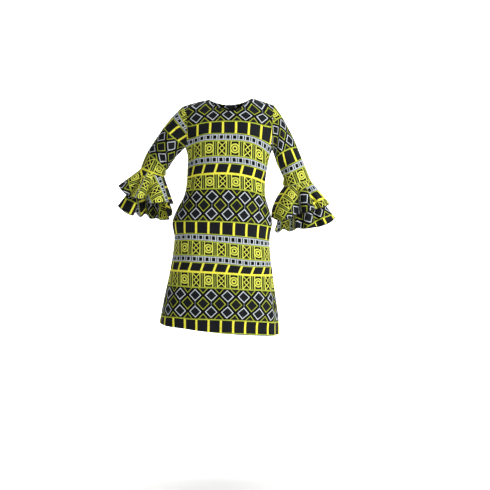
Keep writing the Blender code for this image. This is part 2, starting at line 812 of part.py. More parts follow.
def build():
    for item in list(bpy.data.objects):
        bpy.data.objects.remove(item, do_unlink=True)

    front = torso_grid(-1, FRONT_NECK_DROP, TORSO_COLUMNS, NECK_COLUMNS)
    back = torso_grid(1, BACK_NECK_DROP, TORSO_COLUMNS, NECK_COLUMNS)
    outer, inner = torso_walls(-1, front)
    solid("front", panel(outer, inner), CLOTH_COLOUR, CLOTH_ROUGHNESS)

    back_outer, back_inner = torso_walls(1, back)
    half = TORSO_COLUMNS // 2
    for name, part, way in (
        ("back_left", slice(0, half + 1), -1),
        ("back_right", slice(half, None), 1),
    ):
        walls = [back_outer[:, part].copy(), back_inner[:, part].copy()]
        seam = -1 if way < 0 else 0
        for wall in walls:
            wall[:, seam, 0] += way * SEAM_GAP / 2
        solid(name, panel(*walls), CLOTH_COLOUR, CLOTH_ROUGHNESS)

    for side, sleeve, upper, lower, edge, way in (
        ("left", SLEEVE_LEFT, UPPER_LEFT, LOWER_LEFT, 0, -1),
        ("right", SLEEVE_RIGHT, UPPER_RIGHT, LOWER_RIGHT, -1, 1),
    ):
        loop = armhole_loop(front, back, edge)
        inner_loop = armhole_loop(inner, back_inner, edge)
        shift = ARMHOLE_GAP * armhole_away(front, back, edge, way)
        grid = sleeve_grid(sleeve, loop + shift)
        walls = grid - WALL * outward_normals(grid)
        walls[0] = inner_loop + shift
        solid(f"sleeve_{side}", tube(grid, walls), CLOTH_COLOUR, CLOTH_ROUGHNESS)

        over = tier_grid(sleeve, upper, 0, CUFF_GAP, UPPER_RINGS)
        over_inner = over - WALL * outward_normals(over)
        solid(f"flounce_upper_{side}", tube(over, over_inner), CLOTH_COLOUR, CLOTH_ROUGHNESS)
        under = tier_grid(sleeve, lower, WALL + TIER_GAP, 2 * CUFF_GAP, LOWER_RINGS)
        under = kept_inside(under, finer(over_inner, 3), sleeve, TIER_CLEARANCE)
        under_inner = under - WALL * outward_normals(under)
        solid(f"flounce_lower_{side}", tube(under, under_inner), CLOTH_COLOUR, CLOTH_ROUGHNESS)

        bag, cavity = pocket_grid(way)
        solid(f"pocket_{side}", tube(bag, cavity, True), LINING_COLOUR, LINING_ROUGHNESS)

    tape_out = tape_grid(back_outer, back_inner, WALL + TAPE_GAP)
    tape_in = tape_grid(back_outer, back_inner, WALL + TAPE_GAP + TAPE_WALL)
    solid("zip_tape", panel(tape_out, tape_in), LINING_COLOUR, LINING_ROUGHNESS)

    hinge = SLIDER_TOP - SLIDER_LENGTH / 2
    block, lugs = slider_shape()
    parts = [(on_zip(points, hinge), faces) for points, faces in [block, *lugs]]
    joined("zip_slider", parts)
    low = HINGE_HEIGHT - PULL_THICKNESS / 2
    points, faces = outline_plate(pull_outline(), low, low + PULL_THICKNESS)
    axis = on_zip(np.array([[0.0, HINGE_HEIGHT, 0.0]]), hinge)[0]
    pull = (on_zip(points, hinge), faces)
    solid("zip_pull", pull, METAL_COLOUR, METAL_ROUGHNESS, METALLIC, axis)


build()
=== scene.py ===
# Looks for a wax print shift dress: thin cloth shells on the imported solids, the print,
# the weave, the sewing, the zip's coil, a pale studio and the camera.
import math

import bpy
import numpy as np
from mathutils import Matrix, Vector


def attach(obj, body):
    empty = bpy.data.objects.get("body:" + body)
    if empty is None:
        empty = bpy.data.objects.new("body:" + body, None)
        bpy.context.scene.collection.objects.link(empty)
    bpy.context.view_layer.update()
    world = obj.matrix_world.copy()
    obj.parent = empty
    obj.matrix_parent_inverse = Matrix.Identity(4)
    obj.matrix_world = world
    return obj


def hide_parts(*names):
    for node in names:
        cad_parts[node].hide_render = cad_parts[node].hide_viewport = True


mm = 0.001
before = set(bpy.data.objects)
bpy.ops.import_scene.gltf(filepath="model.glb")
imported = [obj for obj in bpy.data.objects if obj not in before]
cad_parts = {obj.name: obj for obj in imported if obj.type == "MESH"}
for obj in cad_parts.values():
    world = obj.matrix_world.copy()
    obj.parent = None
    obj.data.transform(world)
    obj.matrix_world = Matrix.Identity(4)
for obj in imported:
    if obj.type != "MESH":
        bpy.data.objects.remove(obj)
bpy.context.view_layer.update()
print("frame loaded")


# curves through short tables

def unit(vectors):
    return vectors / np.maximum(np.linalg.norm(vectors, axis=-1, keepdims=True), 1e-12)


def smoothStep(x):
    x = np.clip(x, 0, 1)
    return x * x * (3 - 2 * x)


def through(keys, values, at):
    # a smooth curve through a table's values
    keys, values = np.asarray(keys, float), np.asarray(values, float)
    slopes = np.gradient(values, keys)
    at = np.clip(np.asarray(at, float), keys[0], keys[-1])
    i = np.clip(np.searchsorted(keys, at, side="right") - 1, 0, len(keys) - 2)
    span = keys[i + 1] - keys[i]
    s = (at - keys[i]) / span
    start = (1 + 2 * s) * (1 - s) ** 2 * values[i] + s * (1 - s) ** 2 * span * slopes[i]
    end = s**2 * (3 - 2 * s) * values[i + 1] + s**2 * (s - 1) * span * slopes[i + 1]
    return start + end


def around(keys, values, at, turn=360.0):
    # the same for a table that closes on itself after one turn
    keys = np.concatenate([keys[-3:] - turn, keys, keys[:3] + turn])
    values = np.concatenate([values[-3:], values, values[:3]])
    return through(keys, values, at)


# torso form, in millimetres: the same sizes as the solids
torsoSections = {  # height, left, right, front, back
    "rows": (
        (-860, -270, 178, 149, 152), (-785, -253, 173, 142, 145), (-700, -236, 162, 133, 137),
        (-620, -218, 151, 125, 131), (-545, -205, 142, 118, 127), (-485, -200, 141, 113, 124),
        (-435, -206, 149, 109, 119), (-390, -190, 138, 104, 108), (-345, -166, 125, 99, 95),
        (-300, -156, 124, 97, 87), (-250, -153, 130, 101, 87), (-200, -152, 141, 107, 92),
        (-150, -167, 160, 105, 95), (-100, -181, 169, 98, 95), (-50, -187, 174, 90, 93),
        (0, -190, 177, 84, 90), (40, -192, 180, 80, 88),
    ),
    "columns": ("height", "left", "right", "front", "back"),
    "squareness": 2.3,
    "frontRounding": 150,
    "backRounding": 125,
}
shoulderRidge = (  # across, height
    (-190, -35), (-169, -27), (-120, -12), (-76, -2), (-38, 8), (0, 13),
    (38, 11), (76, 3), (115, -9), (155, -23), (175, -31),
)
armhole = {  # across at shares of the way up from the underarm, and the underarm's height
    "rise": (0.1, 0.25, 0.5, 0.75, 0.9, 1),
    "left": (-152.5, -151.5, -151, -152, -158, -169),
    "right": (142.5, 145, 147.5, 149.5, 151.5, 155),
    "underarm": {"left": -172, "right": -181},
}
neckline = {"halfWidth": 76, "front": 47, "back": 18}  # the last two say how deep it is cut
torsoMesh = {"columns": 144, "lowRows": 128, "highRows": 44}
hemHeights = {"left": -793, "right": -835}
skirtFolds = (  # turn, spread, rise, top
    (-142, 11, 6, -460), (-122, 9, -5, -520), (-84, 10, 4, -560), (-60, 9, -4, -540),
    (-36, 10, 6, -500), (-20, 7, -5, -520), (24, 10, 7, -450), (46, 9, -7, -480),
    (68, 9, 7, -430), (112, 9, 7, -430), (134, 9, -7, -480), (156, 10, 6, -450),
)
pocketMouth = {"middle": -455, "half": 70, "opening": 22, "seam": 0.3}


def section(name, height):
    at = torsoSections["columns"].index(name)
    rows = torsoSections["rows"]
    return through([r[0] for r in rows], [r[at] for r in rows], height)


def middleAndHalf(height):
    left, right = section("left", height), section("right", height)
    return (left + right) / 2, (right - left) / 2


def ridge(across):
    return through([r[0] for r in shoulderRidge], [r[1] for r in shoulderRidge], across)


def pocketSlit(height):
    share = np.clip((height - pocketMouth["middle"]) / pocketMouth["half"], -1, 1)
    return pocketMouth["seam"] + pocketMouth["opening"] * np.cos(share * math.pi / 2) ** 2


def torsoPoint(turn, height, side):
    # points of the front (side -1) or the back (side 1), turn being -90 to 90 degrees
    middle, half = middleAndHalf(height)
    across = np.sin(np.radians(turn))
    x = middle + half * across
    power = torsoSections["squareness"]
    shape = np.clip(1 - np.abs(across) ** power, 0, 1) ** (1 / power)
    rounding = torsoSections["frontRounding" if side < 0 else "backRounding"]
    below = np.clip((ridge(x) - height) / rounding, 0, 1)
    roundOver = np.sqrt(1 - (1 - below) ** 2)
    depth = section("front" if side < 0 else "back", height)
    y = side * (depth * shape * roundOver + pocketSlit(height) / 2 * (1 - shape) ** 2)
    folded = np.degrees(np.arctan2(y / depth, (x - middle) / half))
    outward = np.zeros_like(x)
    for at, spread, rise, top in skirtFolds:
        off = (folded - at + 180) % 360 - 180
        belowTop = smoothStep((top - height) / (top - hemHeights["right"]))
        outward = outward + rise * belowTop * np.exp(-((off / spread) ** 2))
    away = np.hypot(x - middle, y)
    x = x + outward * (x - middle) / away
    y = y + outward * y / away
    return np.stack([x, y, height + 0 * x], -1)


def armholeTurn(height, rise, name):
    middle, half = middleAndHalf(height)
    rises = [0, *armhole["rise"]]
    across = [section(name, armhole["underarm"][name]), *armhole[name]]
    return np.degrees(np.arcsin(np.clip((through(rises, across, rise) - middle) / half, -1, 1)))


def torsoGrid(side, drop):
    # rows of cloth points from the hem to the shoulder seams, with the turn of each
    columns, lowRows, highRows = torsoMesh.values()
    even = np.linspace(0, 1, columns + 1)
    swing = (1 + np.sin(np.radians(180 * even - 90))) / 2
    hem = hemHeights["left"] + (hemHeights["right"] - hemHeights["left"]) * swing
    low = armhole["underarm"]
    underarm = low["left"] + (low["right"] - low["left"]) * even
    heights, turns = [], []
    for share in np.linspace(0, 1, lowRows + 1)[:-1]:
        heights.append(hem + (underarm - hem) * share)
        turns.append(180 * even - 90)
    ends = [0, columns // 4, columns - columns // 4, columns]
    wide = neckline["halfWidth"]
    topX = np.interp(np.arange(columns + 1), ends, [armhole["left"][-1], -wide, wide, armhole["right"][-1]])
    topZ = ridge(topX)
    inNeck = slice(ends[1], ends[2] + 1)
    share = topX[inNeck] / wide
    level = ridge(-wide) * (1 - share) / 2 + ridge(wide) * (1 + share) / 2
    topZ[inNeck] = level - drop * (1 - share**2)
    topMiddle, topHalf = middleAndHalf(topZ)
    topTurn = np.degrees(np.arcsin((topX - topMiddle) / topHalf))
    spreadTop = topTurn - topTurn[0] - (topTurn[-1] - topTurn[0]) * even
    for share in np.linspace(0, 1, highRows + 1):
        rise = (1 - math.cos(math.pi * share)) / 2
        height = underarm + (topZ - underarm) * rise
        left = armholeTurn(height[0], rise, "left")
        right = armholeTurn(height[-1], rise, "right")
        heights.append(height)
        turns.append(left + (right - left) * even + rise * spreadTop)
    heights, turns = np.array(heights), np.array(turns)
    grid = torsoPoint(turns, heights, side)
    onRidge = np.abs(grid[-1, :, 1]) < pocketMouth["seam"] / 2
    grid[-1, onRidge, 1] = side * pocketMouth["seam"] / 2
    return grid, turns


# cloth creases that the solids leave out: soft and uneven, a few millimetres deep

torsoCreases = {  # turn and height of both ends, width, depth; turns over 90 are behind
    "underarm to bust, left": (-80, -190, -46, -168, 11, -2.4),
    "bust side fold, left": (-76, -214, -40, -205, 12, 1.8),
    "underarm to bust, right": (80, -196, 48, -176, 11, -2.6),
    "bust side fold, right": (78, -222, 44, -214, 12, 2.0),
    "under the bust": (-20, -238, 34, -246, 17, -2.0),
    "waist, left": (-84, -262, -34, -286, 10, -2.6),
    "waist, left lower": (-82, -300, -38, -312, 12, 2.2),
    "waist, right": (84, -276, 30, -296, 11, -2.6),
    "waist, right lower": (82, -318, 36, -330, 12, 2.0),
    "hip drag, left": (-72, -392, -10, -372, 14, -2.2),
    "hip drag, right": (76, -420, 12, -388, 15, -2.4),
    "pocket drag, left": (-74, -500, -22, -540, 15, 2.2),
    "pocket drag, right": (70, -500, 26, -560, 15, -2.8),
    "lap drag, right": (62, -560, 14, -590, 13, 2.2),
    "skirt fall, left": (-62, -560, -56, -800, 16, -3.0),
    "skirt fall, middle": (-8, -600, -6, -820, 22, -2.4),
    "skirt fall, right": (52, -600, 56, -830, 16, -3.2),
    "neck to armhole, left": (-48, -40, -62, -110, 13, -1.8),
    "neck to armhole, right": (46, -44, 60, -116, 13, -1.8),
    "shoulder blade, left": (102, -110, 150, -150, 16, -2.2),
    "small of the back": (130, -300, 228, -304, 15, -3.2),
    "small of the back, upper": (138, -268, 222, -270, 13, 2.4),
    "small of the back, lower": (126, -334, 232, -338, 15, 2.4),
    "seat drag, left": (226, -420, 252, -520, 15, -2.6),
    "seat drag, right": (134, -420, 110, -520, 15, -2.6),
    "underarm behind, right": (98, -196, 128, -176, 12, -2.6),
    "underarm behind, left": (262, -196, 232, -176, 12, -2.6),
    "back fall, left": (216, -600, 214, -830, 20, -3.0),
    "back fall, right": (146, -600, 148, -830, 20, -3.0),
}


torsoWander = {  # mm round the body for each degree; how far a crease wanders in mm, waves along it, shift
    "perDegree": 2.9, "slow": (5, 5.3, 1.7), "quick": (2, 13, 1),
}


def creased(grid, normals, turns, heights):
    # the grid pushed along its normals by each crease, fading at its ends and wandering a little
    out = np.zeros(turns.shape)
    perDegree = torsoWander["perDegree"]
    for number, (a0, z0, a1, z1, width, depth) in enumerate(torsoCreases.values()):
        run = np.array([(a1 - a0) * perDegree, z1 - z0])
        length = np.hypot(*run)
        dx, dz = (turns - a0) * perDegree, heights - z0
        along = (dx * run[0] + dz * run[1]) / length**2
        off = (dx * run[1] - dz * run[0]) / length
        for reach, waves, shift in (torsoWander["slow"], torsoWander["quick"]):
            off = off + reach * np.sin(along * waves + number * shift)
        wide = width * (0.75 + 0.5 * np.clip(along, 0, 1))
        fade = smoothStep((along + 0.12) / 0.35) * smoothStep((1.12 - along) / 0.35)
        out += depth * fade * np.exp(-((off / wide) ** 2))
    return grid + out[..., None] * normals


rippleWaves = {  # waves: mm deep, then how quickly each runs round, up and with the seed
    "waves": ((0.35, 1.7, 0.9, 1), (0.35, -1.1, 2.1, 2), (0.25, 3.1, -2.7, 3)), "turn": 20, "rise": 60,
}


def ripple(turns, heights, seed):
    # slight, slow unevenness, as cloth has between its folds
    a, z = turns / rippleWaves["turn"], heights / rippleWaves["rise"]
    return sum(reach * np.sin(i * a + j * z + k * seed) for reach, i, j, k in rippleWaves["waves"])


def gridNormals(grid, closed):
    if closed:
        across = np.roll(grid, -1, 1) - np.roll(grid, 1, 1)
    else:
        across = np.gradient(grid, axis=1)
    return unit(np.cross(across, np.gradient(grid, axis=0)))


# where the print's lines run over the front: place down the print, then heights from left to right
bandShares = (-1, -0.75, -0.5, -0.25, 0, 0.25, 0.5, 0.75, 1)
bandHeights = (
    (-88, -36, -29, -16, -10.4, -6.5, -7.5, -14, -24, -32),
    (-58, -48, -48.5, -42, -38, -36.6, -37.7, -43, -51, -51.3),
    (-27, -72.4, -73, -65.6, -59.7, -58.8, -60.8, -64.5, -69.5, -71),
    (0, -99, -98, -87.6, -83, -81.3, -82.1, -87.8, -98, -101.5),
    (47.2, -150, -141, -129, -126.3, -126.3, -128, -135.7, -153, -173),
    (69.7, -173, -158, -148.6, -147, -147, -148.5, -156.8, -174, -198),
    (124.4, -224, -210, -204, -202.3, -202.1, -204.2, -210, -221, -238.5),
    (148.9, -243, -233, -228, -226.5, -226.7, -229, -234.5, -244, -257),
    (184.5, -278, -268.4, -264.3, -262, -261.9, -264.8, -271, -280.4, -295),
    (238.7, -324, -319.3, -316.3, -314.9, -314.8, -316.3, -320.2, -328.2, -345),
    (355, -432, -429, -428.2, -428.6, -429.4, -431.5, -435.8, -441.5, -452),
    (402.2, -480, -474, -473, -474.5, -477.3, -480.6, -485, -491.3, -502.4),
    (424.7, -499, -493, -493.4, -496, -500, -504.3, -509, -514.2, -522),
    (479.4, -551.3, -547, -547, -548, -550.3, -555.1, -561.8, -566.6, -573.5),
    (503.9, -573, -569, -570, -571.2, -573.5, -578, -584, -587.5, -591),
    (539.5, -604, -602, -603, -604.2, -606.5, -609.5, -613.6, -617, -622),
    (593.7, -657, -655, -657, -657.5, -658.5, -662, -666, -670, -679),
    (710, -767.8, -764, -766.5, -766.5, -767.5, -770, -774.6, -780, -791),
)
zeroLine = (  # height, then where the print's middle column runs across the front
    (-850, -74.7), (-640, -74.3), (-530, -73.3), (-290, -70.5), (-165, -71.9), (-60, -64), (20, -63),
)
backRise = 9  # how far the bands rise in the middle of the back


def downThePrint(turns, heights, side):
    # how far down the print each torso point lies, in millimetres
    share = np.sin(np.radians(turns))
    lines = []
    for row in bandHeights:
        if side < 0:
            lines.append(through(bandShares, row[1:], share))
        else:
            level = row[1] * (1 - share) / 2 + row[-1] * (1 + share) / 2
            lines.append(level + backRise * (1 - share**2))
    lines = np.array(lines)
    places = np.array([row[0] for row in bandHeights], float)
    found = places[0] + (lines[0] - heights)
    for i in range(len(places) - 1):
        part = (lines[i] - heights) / (lines[i] - lines[i + 1])
        found = np.where(part >= 0, places[i] + part * (places[i + 1] - places[i]), found)
    return np.where(heights < lines[-1], places[-1] + lines[-1] - heights, found)


acrossEase = (  # place down the print, how tightly it lies across the front, how far it is shifted
    (-90, 0.93, 1.3), (-45, 0.93, 1.3), (0, 0.985, 0.5), (23, 1, 0), (212, 1, 0), (300, 1, 0),
    (378, 1.03, 3), (453, 1.02, 1), (522, 1.02, 1), (567, 1.03, 0), (652, 1, -2), (733, 1.06, 0),
    (770, 1.06, 0),
)


def acrossThePrint(grid, zero):
    # arc length along each row from the line where it crosses zero, in millimetres
    steps = np.hypot(np.diff(grid[..., 0]), np.diff(grid[..., 1]))
    runs = np.concatenate([np.zeros((len(grid), 1)), np.cumsum(steps, 1)], 1)
    starts = [np.interp(z, row[:, 0], run) for z, row, run in zip(zero, grid, runs)]
    return runs - np.array(starts)[:, None]


# making meshes

bakeLayout = {  # shares of the baking square: the outer and inner faces side by side, their rims above
    "margin": 0.015, "width": 0.47, "height": 0.94, "innerShift": 0.5,
    "rimWidth": 0.97, "rimHeight": 0.975, "rimStep": 0.01,
}


def clothMesh(name, outer, inner, cloth, closed, material):
    # a thin closed shell between two grids; its maps are its place on the flat print and a bake layout
    rows, columns = outer.shape[:2]
    layer = rows * columns
    at = np.arange(layer).reshape(rows, columns)
    if closed:
        at = np.concatenate([at, at[:, :1]], 1)
    width = at.shape[1]
    spot = np.arange(rows * width).reshape(rows, width)
    quads = np.stack([spot[:-1, :-1], spot[:-1, 1:], spot[1:, 1:], spot[1:, :-1]], -1).reshape(-1, 4)
    rims = [spot[0], spot[-1][::-1]]
    if not closed:
        rims = [np.concatenate([spot[0], spot[1:, -1], spot[-1, -2::-1], spot[-2::-1, 0]])]
    sides = np.concatenate([np.stack([rim[1:], rim[:-1], rim[:-1], rim[1:]], -1) for rim in rims])
    spots = np.concatenate([quads, quads[:, ::-1], sides])
    ofInner = np.zeros(spots.shape, bool)
    ofInner[len(quads) : 2 * len(quads)] = True
    ofInner[2 * len(quads) :, 2:] = True
    middle = outer[rows // 2, columns // 2]
    face = np.cross(outer[rows // 2, columns // 2 + 1] - middle, outer[rows // 2 + 1, columns // 2] - middle)
    if face @ (middle - inner[rows // 2, columns // 2]) < 0:
        spots, ofInner = spots[:, ::-1], ofInner[:, ::-1]
    faces = at.ravel()[spots] + layer * ofInner
    mesh = bpy.data.meshes.new(name)
    points = np.concatenate([outer.reshape(-1, 3), inner.reshape(-1, 3)]) * mm
    mesh.from_pydata(points.tolist(), [], faces.tolist())
    flat = cloth.reshape(-1, 2)[spots.ravel()] * mm
    share = np.stack([spots.ravel() % width / (width - 1), spots.ravel() // width / (rows - 1)], -1)
    inside = ofInner.ravel()[:, None]
    lay = bakeLayout
    layout = share * (lay["width"], lay["height"]) + lay["margin"] + inside * (lay["innerShift"], 0)
    rim = np.arange(len(spots) * 4) >= 8 * len(quads)
    rimPlace = (lay["margin"], lay["rimHeight"]) + inside[rim] * (0, lay["rimStep"])
    layout[rim] = share[rim] * (lay["rimWidth"], 0) + rimPlace
    for title, places in (("cloth", flat), ("OFBake", layout)):
        mesh.uv_layers.new(name=title).data.foreach_set("uv", places.astype(np.float32).ravel())
    mesh.polygons.foreach_set("use_smooth", [True] * len(faces))
    mesh.set_sharp_from_angle(angle=math.radians(50))
    mesh.materials.append(material)
    made = bpy.data.objects.new(name, mesh)
    bpy.context.scene.collection.objects.link(made)
    return made


def addNode(tree, kind, *links, out=0, **settings):
    # adds a node; links fill its inputs in order, each a number, a colour or another socket
    made = tree.nodes.new(kind)
    for name, value in settings.items():
        setattr(made, name, value)
    for socket, value in zip(made.inputs, links):
        if value is None:
            continue
        if isinstance(value, bpy.types.NodeSocket):
            tree.links.new(value, socket)
        else:
            socket.default_value = value
    return made.outputs[out]


def bumped(tree, shader, height, strength, deep):
    # relief of this many millimetres on a surface
    relief = addNode(tree, "ShaderNodeBump").node
    relief.inputs["Strength"].default_value = strength
    relief.inputs["Distance"].default_value = deep * mm
    tree.links.new(height, relief.inputs["Height"])
    tree.links.new(relief.outputs[0], shader.inputs["Normal"])


def linear(hexColour):
    # a hex sRGB colour as linear light
    parts = [int(hexColour[i : i + 2], 16) / 255 for i in (1, 3, 5)]
    return tuple(c / 12.92 if c <= 0.04045 else ((c + 0.055) / 1.055) ** 2.4 for c in parts) + (1.0,)


waxPrint = {  # millimetres on the cloth: the repeat, then pitches across, then rows down and half widths
    "repeat": 355, "bars": 45.5, "circles": 91, "squares": 23.2, "lattice": 57.5,
    "boxRow": 23, "boxFrame": 21, "boxFill": 18.6, "barHalf": 3.9, "barGap": 5.6,
    "slantRow": 166.5, "slantFrame": 15.5, "slantFill": 13.2, "slantHalf": 4.0, "slantGap": 5.8,
    "slant": 0.34, "slantShift": -56.8, "thickLine": (184.7, 3.6),
    "ladders": (58.5, 136.7), "ladderHalf": 10.9, "ladderPale": 8.8, "ladderShift": 5,
    "square": (6.0, 7.0), "rung": (2.1, 7.8), "block": (3.0, 7.4),
    "circleRows": (97.6, 212.4), "rowHalf": 24.2, "cellHalf": 22.4,
    "rings": ((14.6, 2.2), (6.9, 2.4)), "ringGap": (10.9, 1.6), "circleCell": 12.4,
    "darkStripes": ((18.9, 1.9), (26.6, 1.8)), "edgeStripes": ((14.4, 1.6), (31.3, 1.7)),
    "crossCell": 12.6, "crossReach": 13.6, "crossHeight": 9.3, "crossLine": 2.0,
    "latticeRow": 296.8, "latticeHalf": 57, "latticeShift": -8, "paleMiddle": 30.2,
    "paleDiamond": (20.4, 2.1, 16), "oliveDiamond": (22.4, 2.1, 18), "chevron": (19.8, 2.2, 15.6),
    "oliveSteep": 1.09, "chevronSteep": 1.15, "chevronFoot": 57.5, "tie": (1.6, 8.4),
    "borders": ((0.0, 2.1), (355.0, 2.1), (44.6, 1.5), (71.7, 1.9), (123.2, 1.9), (150.2, 1.7), (238.7, 2.1)),
    "wander": 0.9, "wanderScale": 0.18,
    "yellow": "#f1eb4c", "olive": "#a9b33c", "deepOlive": "#8f993e", "pale": "#cdd5da",
    "grey": "#5b646b", "charcoal": "#15181c", "black": "#030305", "circleOlive": "#3a4216",
    "circle": "#dcdf58", "ladderEdge": "#9aa3b1",
}


def waxPrintGroup():
    # resist-printed cotton: crisp dye edges with a slight wander, in olive, bright yellow,
    # grey-white and charcoal on black
    p = waxPrint
    group = bpy.data.node_groups.new("resistDyedWaxPrint", "ShaderNodeTree")
    group.interface.new_socket("Cloth", in_out="INPUT", socket_type="NodeSocketVector")
    group.interface.new_socket("Colour", in_out="OUTPUT", socket_type="NodeSocketColor")
    start = group.nodes.new("NodeGroupInput")
    end = group.nodes.new("NodeGroupOutput")

    def calc(operation, *values):
        return addNode(group, "ShaderNodeMath", *values, operation=operation)

    def near(value, at, reach):
        return calc("COMPARE", value, at, reach)

    def wrapped(value, pitch, shift=0.0):
        return calc("WRAP", calc("ADD", value, shift), pitch / 2, -pitch / 2)

    def both(a, b):
        return calc("MULTIPLY", a, b)

    def either(a, b):
        return calc("MAXIMUM", a, b)

    def less(a, b):
        return calc("LESS_THAN", a, b)

    def isMore(a, b):
        return calc("GREATER_THAN", a, b)

    def anyOf(masks):
        masks = list(masks)
        joined = masks[0]
        for mask in masks[1:]:
            joined = either(joined, mask)
        return joined

    inMm = addNode(group, "ShaderNodeVectorMath", start.outputs[0], operation="SCALE")
    inMm.node.inputs["Scale"].default_value = 1000
    wander = addNode(group, "ShaderNodeTexNoise", inMm, out=1)
    wander.node.inputs["Scale"].default_value = p["wanderScale"]
    wander.node.inputs["Detail"].default_value = 3
    centred = addNode(group, "ShaderNodeVectorMath", wander, (0.5, 0.5, 0.5), operation="SUBTRACT")
    reach = (p["wander"], p["wander"], 0)
    bent = addNode(group, "ShaderNodeVectorMath", centred, reach, inMm, operation="MULTIPLY_ADD")
    split = addNode(group, "ShaderNodeSeparateXYZ", bent)
    u, v = split, split.node.outputs[1]

    t = calc("FLOORED_MODULO", v, p["repeat"])
    barU = calc("ABSOLUTE", wrapped(u, p["bars"]))
    circleU = calc("ABSOLUTE", wrapped(u, p["circles"]))
    crossU = calc("SUBTRACT", p["circles"] / 2, circleU)

    # box row
    boxBars = both(near(t, p["boxRow"], p["boxFrame"]), less(barU, p["barHalf"]))
    boxes = both(near(t, p["boxRow"], p["boxFill"]), isMore(barU, p["barGap"]))
    # slanted row and the thick line under it
    leaning = calc("MULTIPLY_ADD", t, p["slant"], u)
    slantU = calc("ABSOLUTE", wrapped(leaning, p["bars"], -p["bars"] / 2 + p["slantShift"]))
    slantBars = both(near(t, p["slantRow"], p["slantFrame"]), less(slantU, p["slantHalf"]))
    slants = both(near(t, p["slantRow"], p["slantFill"]), isMore(slantU, p["slantGap"]))
    thickLine = near(t, *p["thickLine"])
    # ladders
    fromLadders = [calc("ABSOLUTE", calc("SUBTRACT", t, row)) for row in p["ladders"]]
    ladderOff = calc("MINIMUM", *fromLadders)
    ladder = less(ladderOff, p["ladderHalf"])
    squareU = calc("ABSOLUTE", wrapped(u, p["squares"], p["ladderShift"]))
    rungU = calc("ABSOLUTE", wrapped(u, 2 * p["squares"], p["ladderShift"] + p["squares"] / 2))
    blockU = calc("SUBTRACT", p["squares"], rungU)
    squares, rungs, blocks = (
        both(less(ladderOff, high), less(place, wide))
        for place, (wide, high) in ((squareU, p["square"]), (rungU, p["rung"]), (blockU, p["block"]))
    )
    # circle rows
    firstRow, nextRow = p["circleRows"]
    between = (firstRow + nextRow) / 2
    rowY = calc("SUBTRACT", calc("SUBTRACT", t, firstRow), both(isMore(t, between), nextRow - firstRow))
    rowOff = calc("ABSOLUTE", rowY)
    inRow = less(rowOff, p["rowHalf"])
    radius = calc("SQRT", calc("ADD", both(circleU, circleU), both(rowY, rowY)))
    rings = anyOf(near(radius, *ring) for ring in p["rings"])
    circleGap = both(inRow, near(radius, *p["ringGap"]))
    cellDark = both(less(circleU, p["circleCell"]), less(rowOff, p["cellHalf"]))
    stripeDark = anyOf(near(circleU, *stripe) for stripe in p["darkStripes"])
    zigzag = calc("ABSOLUTE", calc("SUBTRACT", rowOff, p["crossHeight"]))
    zigzag = calc("ABSOLUTE", calc("SUBTRACT", crossU, zigzag))
    crossDark = both(less(crossU, p["crossCell"]), less(rowOff, p["cellHalf"]))
    crossInk = both(less(crossU, p["crossReach"]), less(zigzag, p["crossLine"]))
    edgeInk = anyOf(near(circleU, *stripe) for stripe in p["edgeStripes"])
    rowInk = both(inRow, anyOf((rings, crossInk, edgeInk)))
    rowDark = both(inRow, anyOf((cellDark, crossDark, stripeDark)))
    # lattice
    latticeOff = calc("ABSOLUTE", calc("SUBTRACT", t, p["latticeRow"]))
    paleU = calc("ABSOLUTE", wrapped(u, p["lattice"], p["latticeShift"]))
    oliveU = calc("SUBTRACT", p["lattice"] / 2, paleU)
    inLattice = less(latticeOff, p["latticeHalf"])
    paleSum = calc("ADD", paleU, calc("ABSOLUTE", calc("SUBTRACT", latticeOff, p["paleMiddle"])))
    oliveSum = calc("MULTIPLY_ADD", oliveU, p["oliveSteep"], latticeOff)
    chevron = calc("MULTIPLY_ADD", oliveU, p["chevronSteep"], calc("SUBTRACT", p["chevronFoot"], latticeOff))
    shapes = ((paleSum, p["paleDiamond"]), (oliveSum, p["oliveDiamond"]), (chevron, p["chevron"]))
    paleInk, *oliveInks = (near(place, at, half) for place, (at, half, _) in shapes)
    latticeFill = anyOf(less(place, fill) for place, (_, _, fill) in shapes)
    tieHalf, tieHigh = p["tie"]
    greyInk = both(less(paleU, tieHalf), less(latticeOff, tieHigh))
    # border lines between the rows
    lines = anyOf(near(t, *border) for border in p["borders"])

    def over(base, mask, colour):
        made = group.nodes.new("ShaderNodeMix")
        made.data_type = "RGBA"
        group.links.new(mask, made.inputs["Factor"])
        for socket, value in ((made.inputs[6], base), (made.inputs[7], colour)):
            if isinstance(value, str):
                socket.default_value = linear(value)
            else:
                group.links.new(value, socket)
        return made.outputs[2]

    colour = over(p["black"], anyOf((boxes, slants, both(inLattice, latticeFill))), p["charcoal"])
    colour = over(colour, inRow, p["deepOlive"])
    colour = over(colour, rowDark, p["black"])
    colour = over(colour, either(lines, both(inLattice, anyOf(oliveInks))), p["olive"])
    colour = over(colour, circleGap, p["circleOlive"])
    colour = over(colour, rowInk, p["circle"])
    colour = over(colour, ladder, p["ladderEdge"])
    colour = over(colour, either(less(ladderOff, p["ladderPale"]), both(inLattice, paleInk)), p["pale"])
    colour = over(colour, either(both(ladder, blocks), both(inLattice, greyInk)), p["grey"])
    colour = over(colour, both(ladder, either(squares, rungs)), p["black"])
    colour = over(colour, anyOf((boxBars, slantBars, thickLine)), p["yellow"])
    group.links.new(colour, end.inputs[0])
    return group


cottonLook = {  # threads in mm: real ones lie 0.35 mm apart, and are drawn about twice as coarse to show
    "threadSpacing": 0.7476, "threadWander": 0.6, "threadBump": 0.22, "dyePatch": 11.11,
    "roughness": 0.72, "ior": 1.47, "specular": 0.12, "sheen": 0.02, "sheenRoughness": 0.45,
}


def threadScale(spacing):
    # Blender's wave texture repeats every 0.314 / scale metres
    return 0.314 / (spacing * mm)


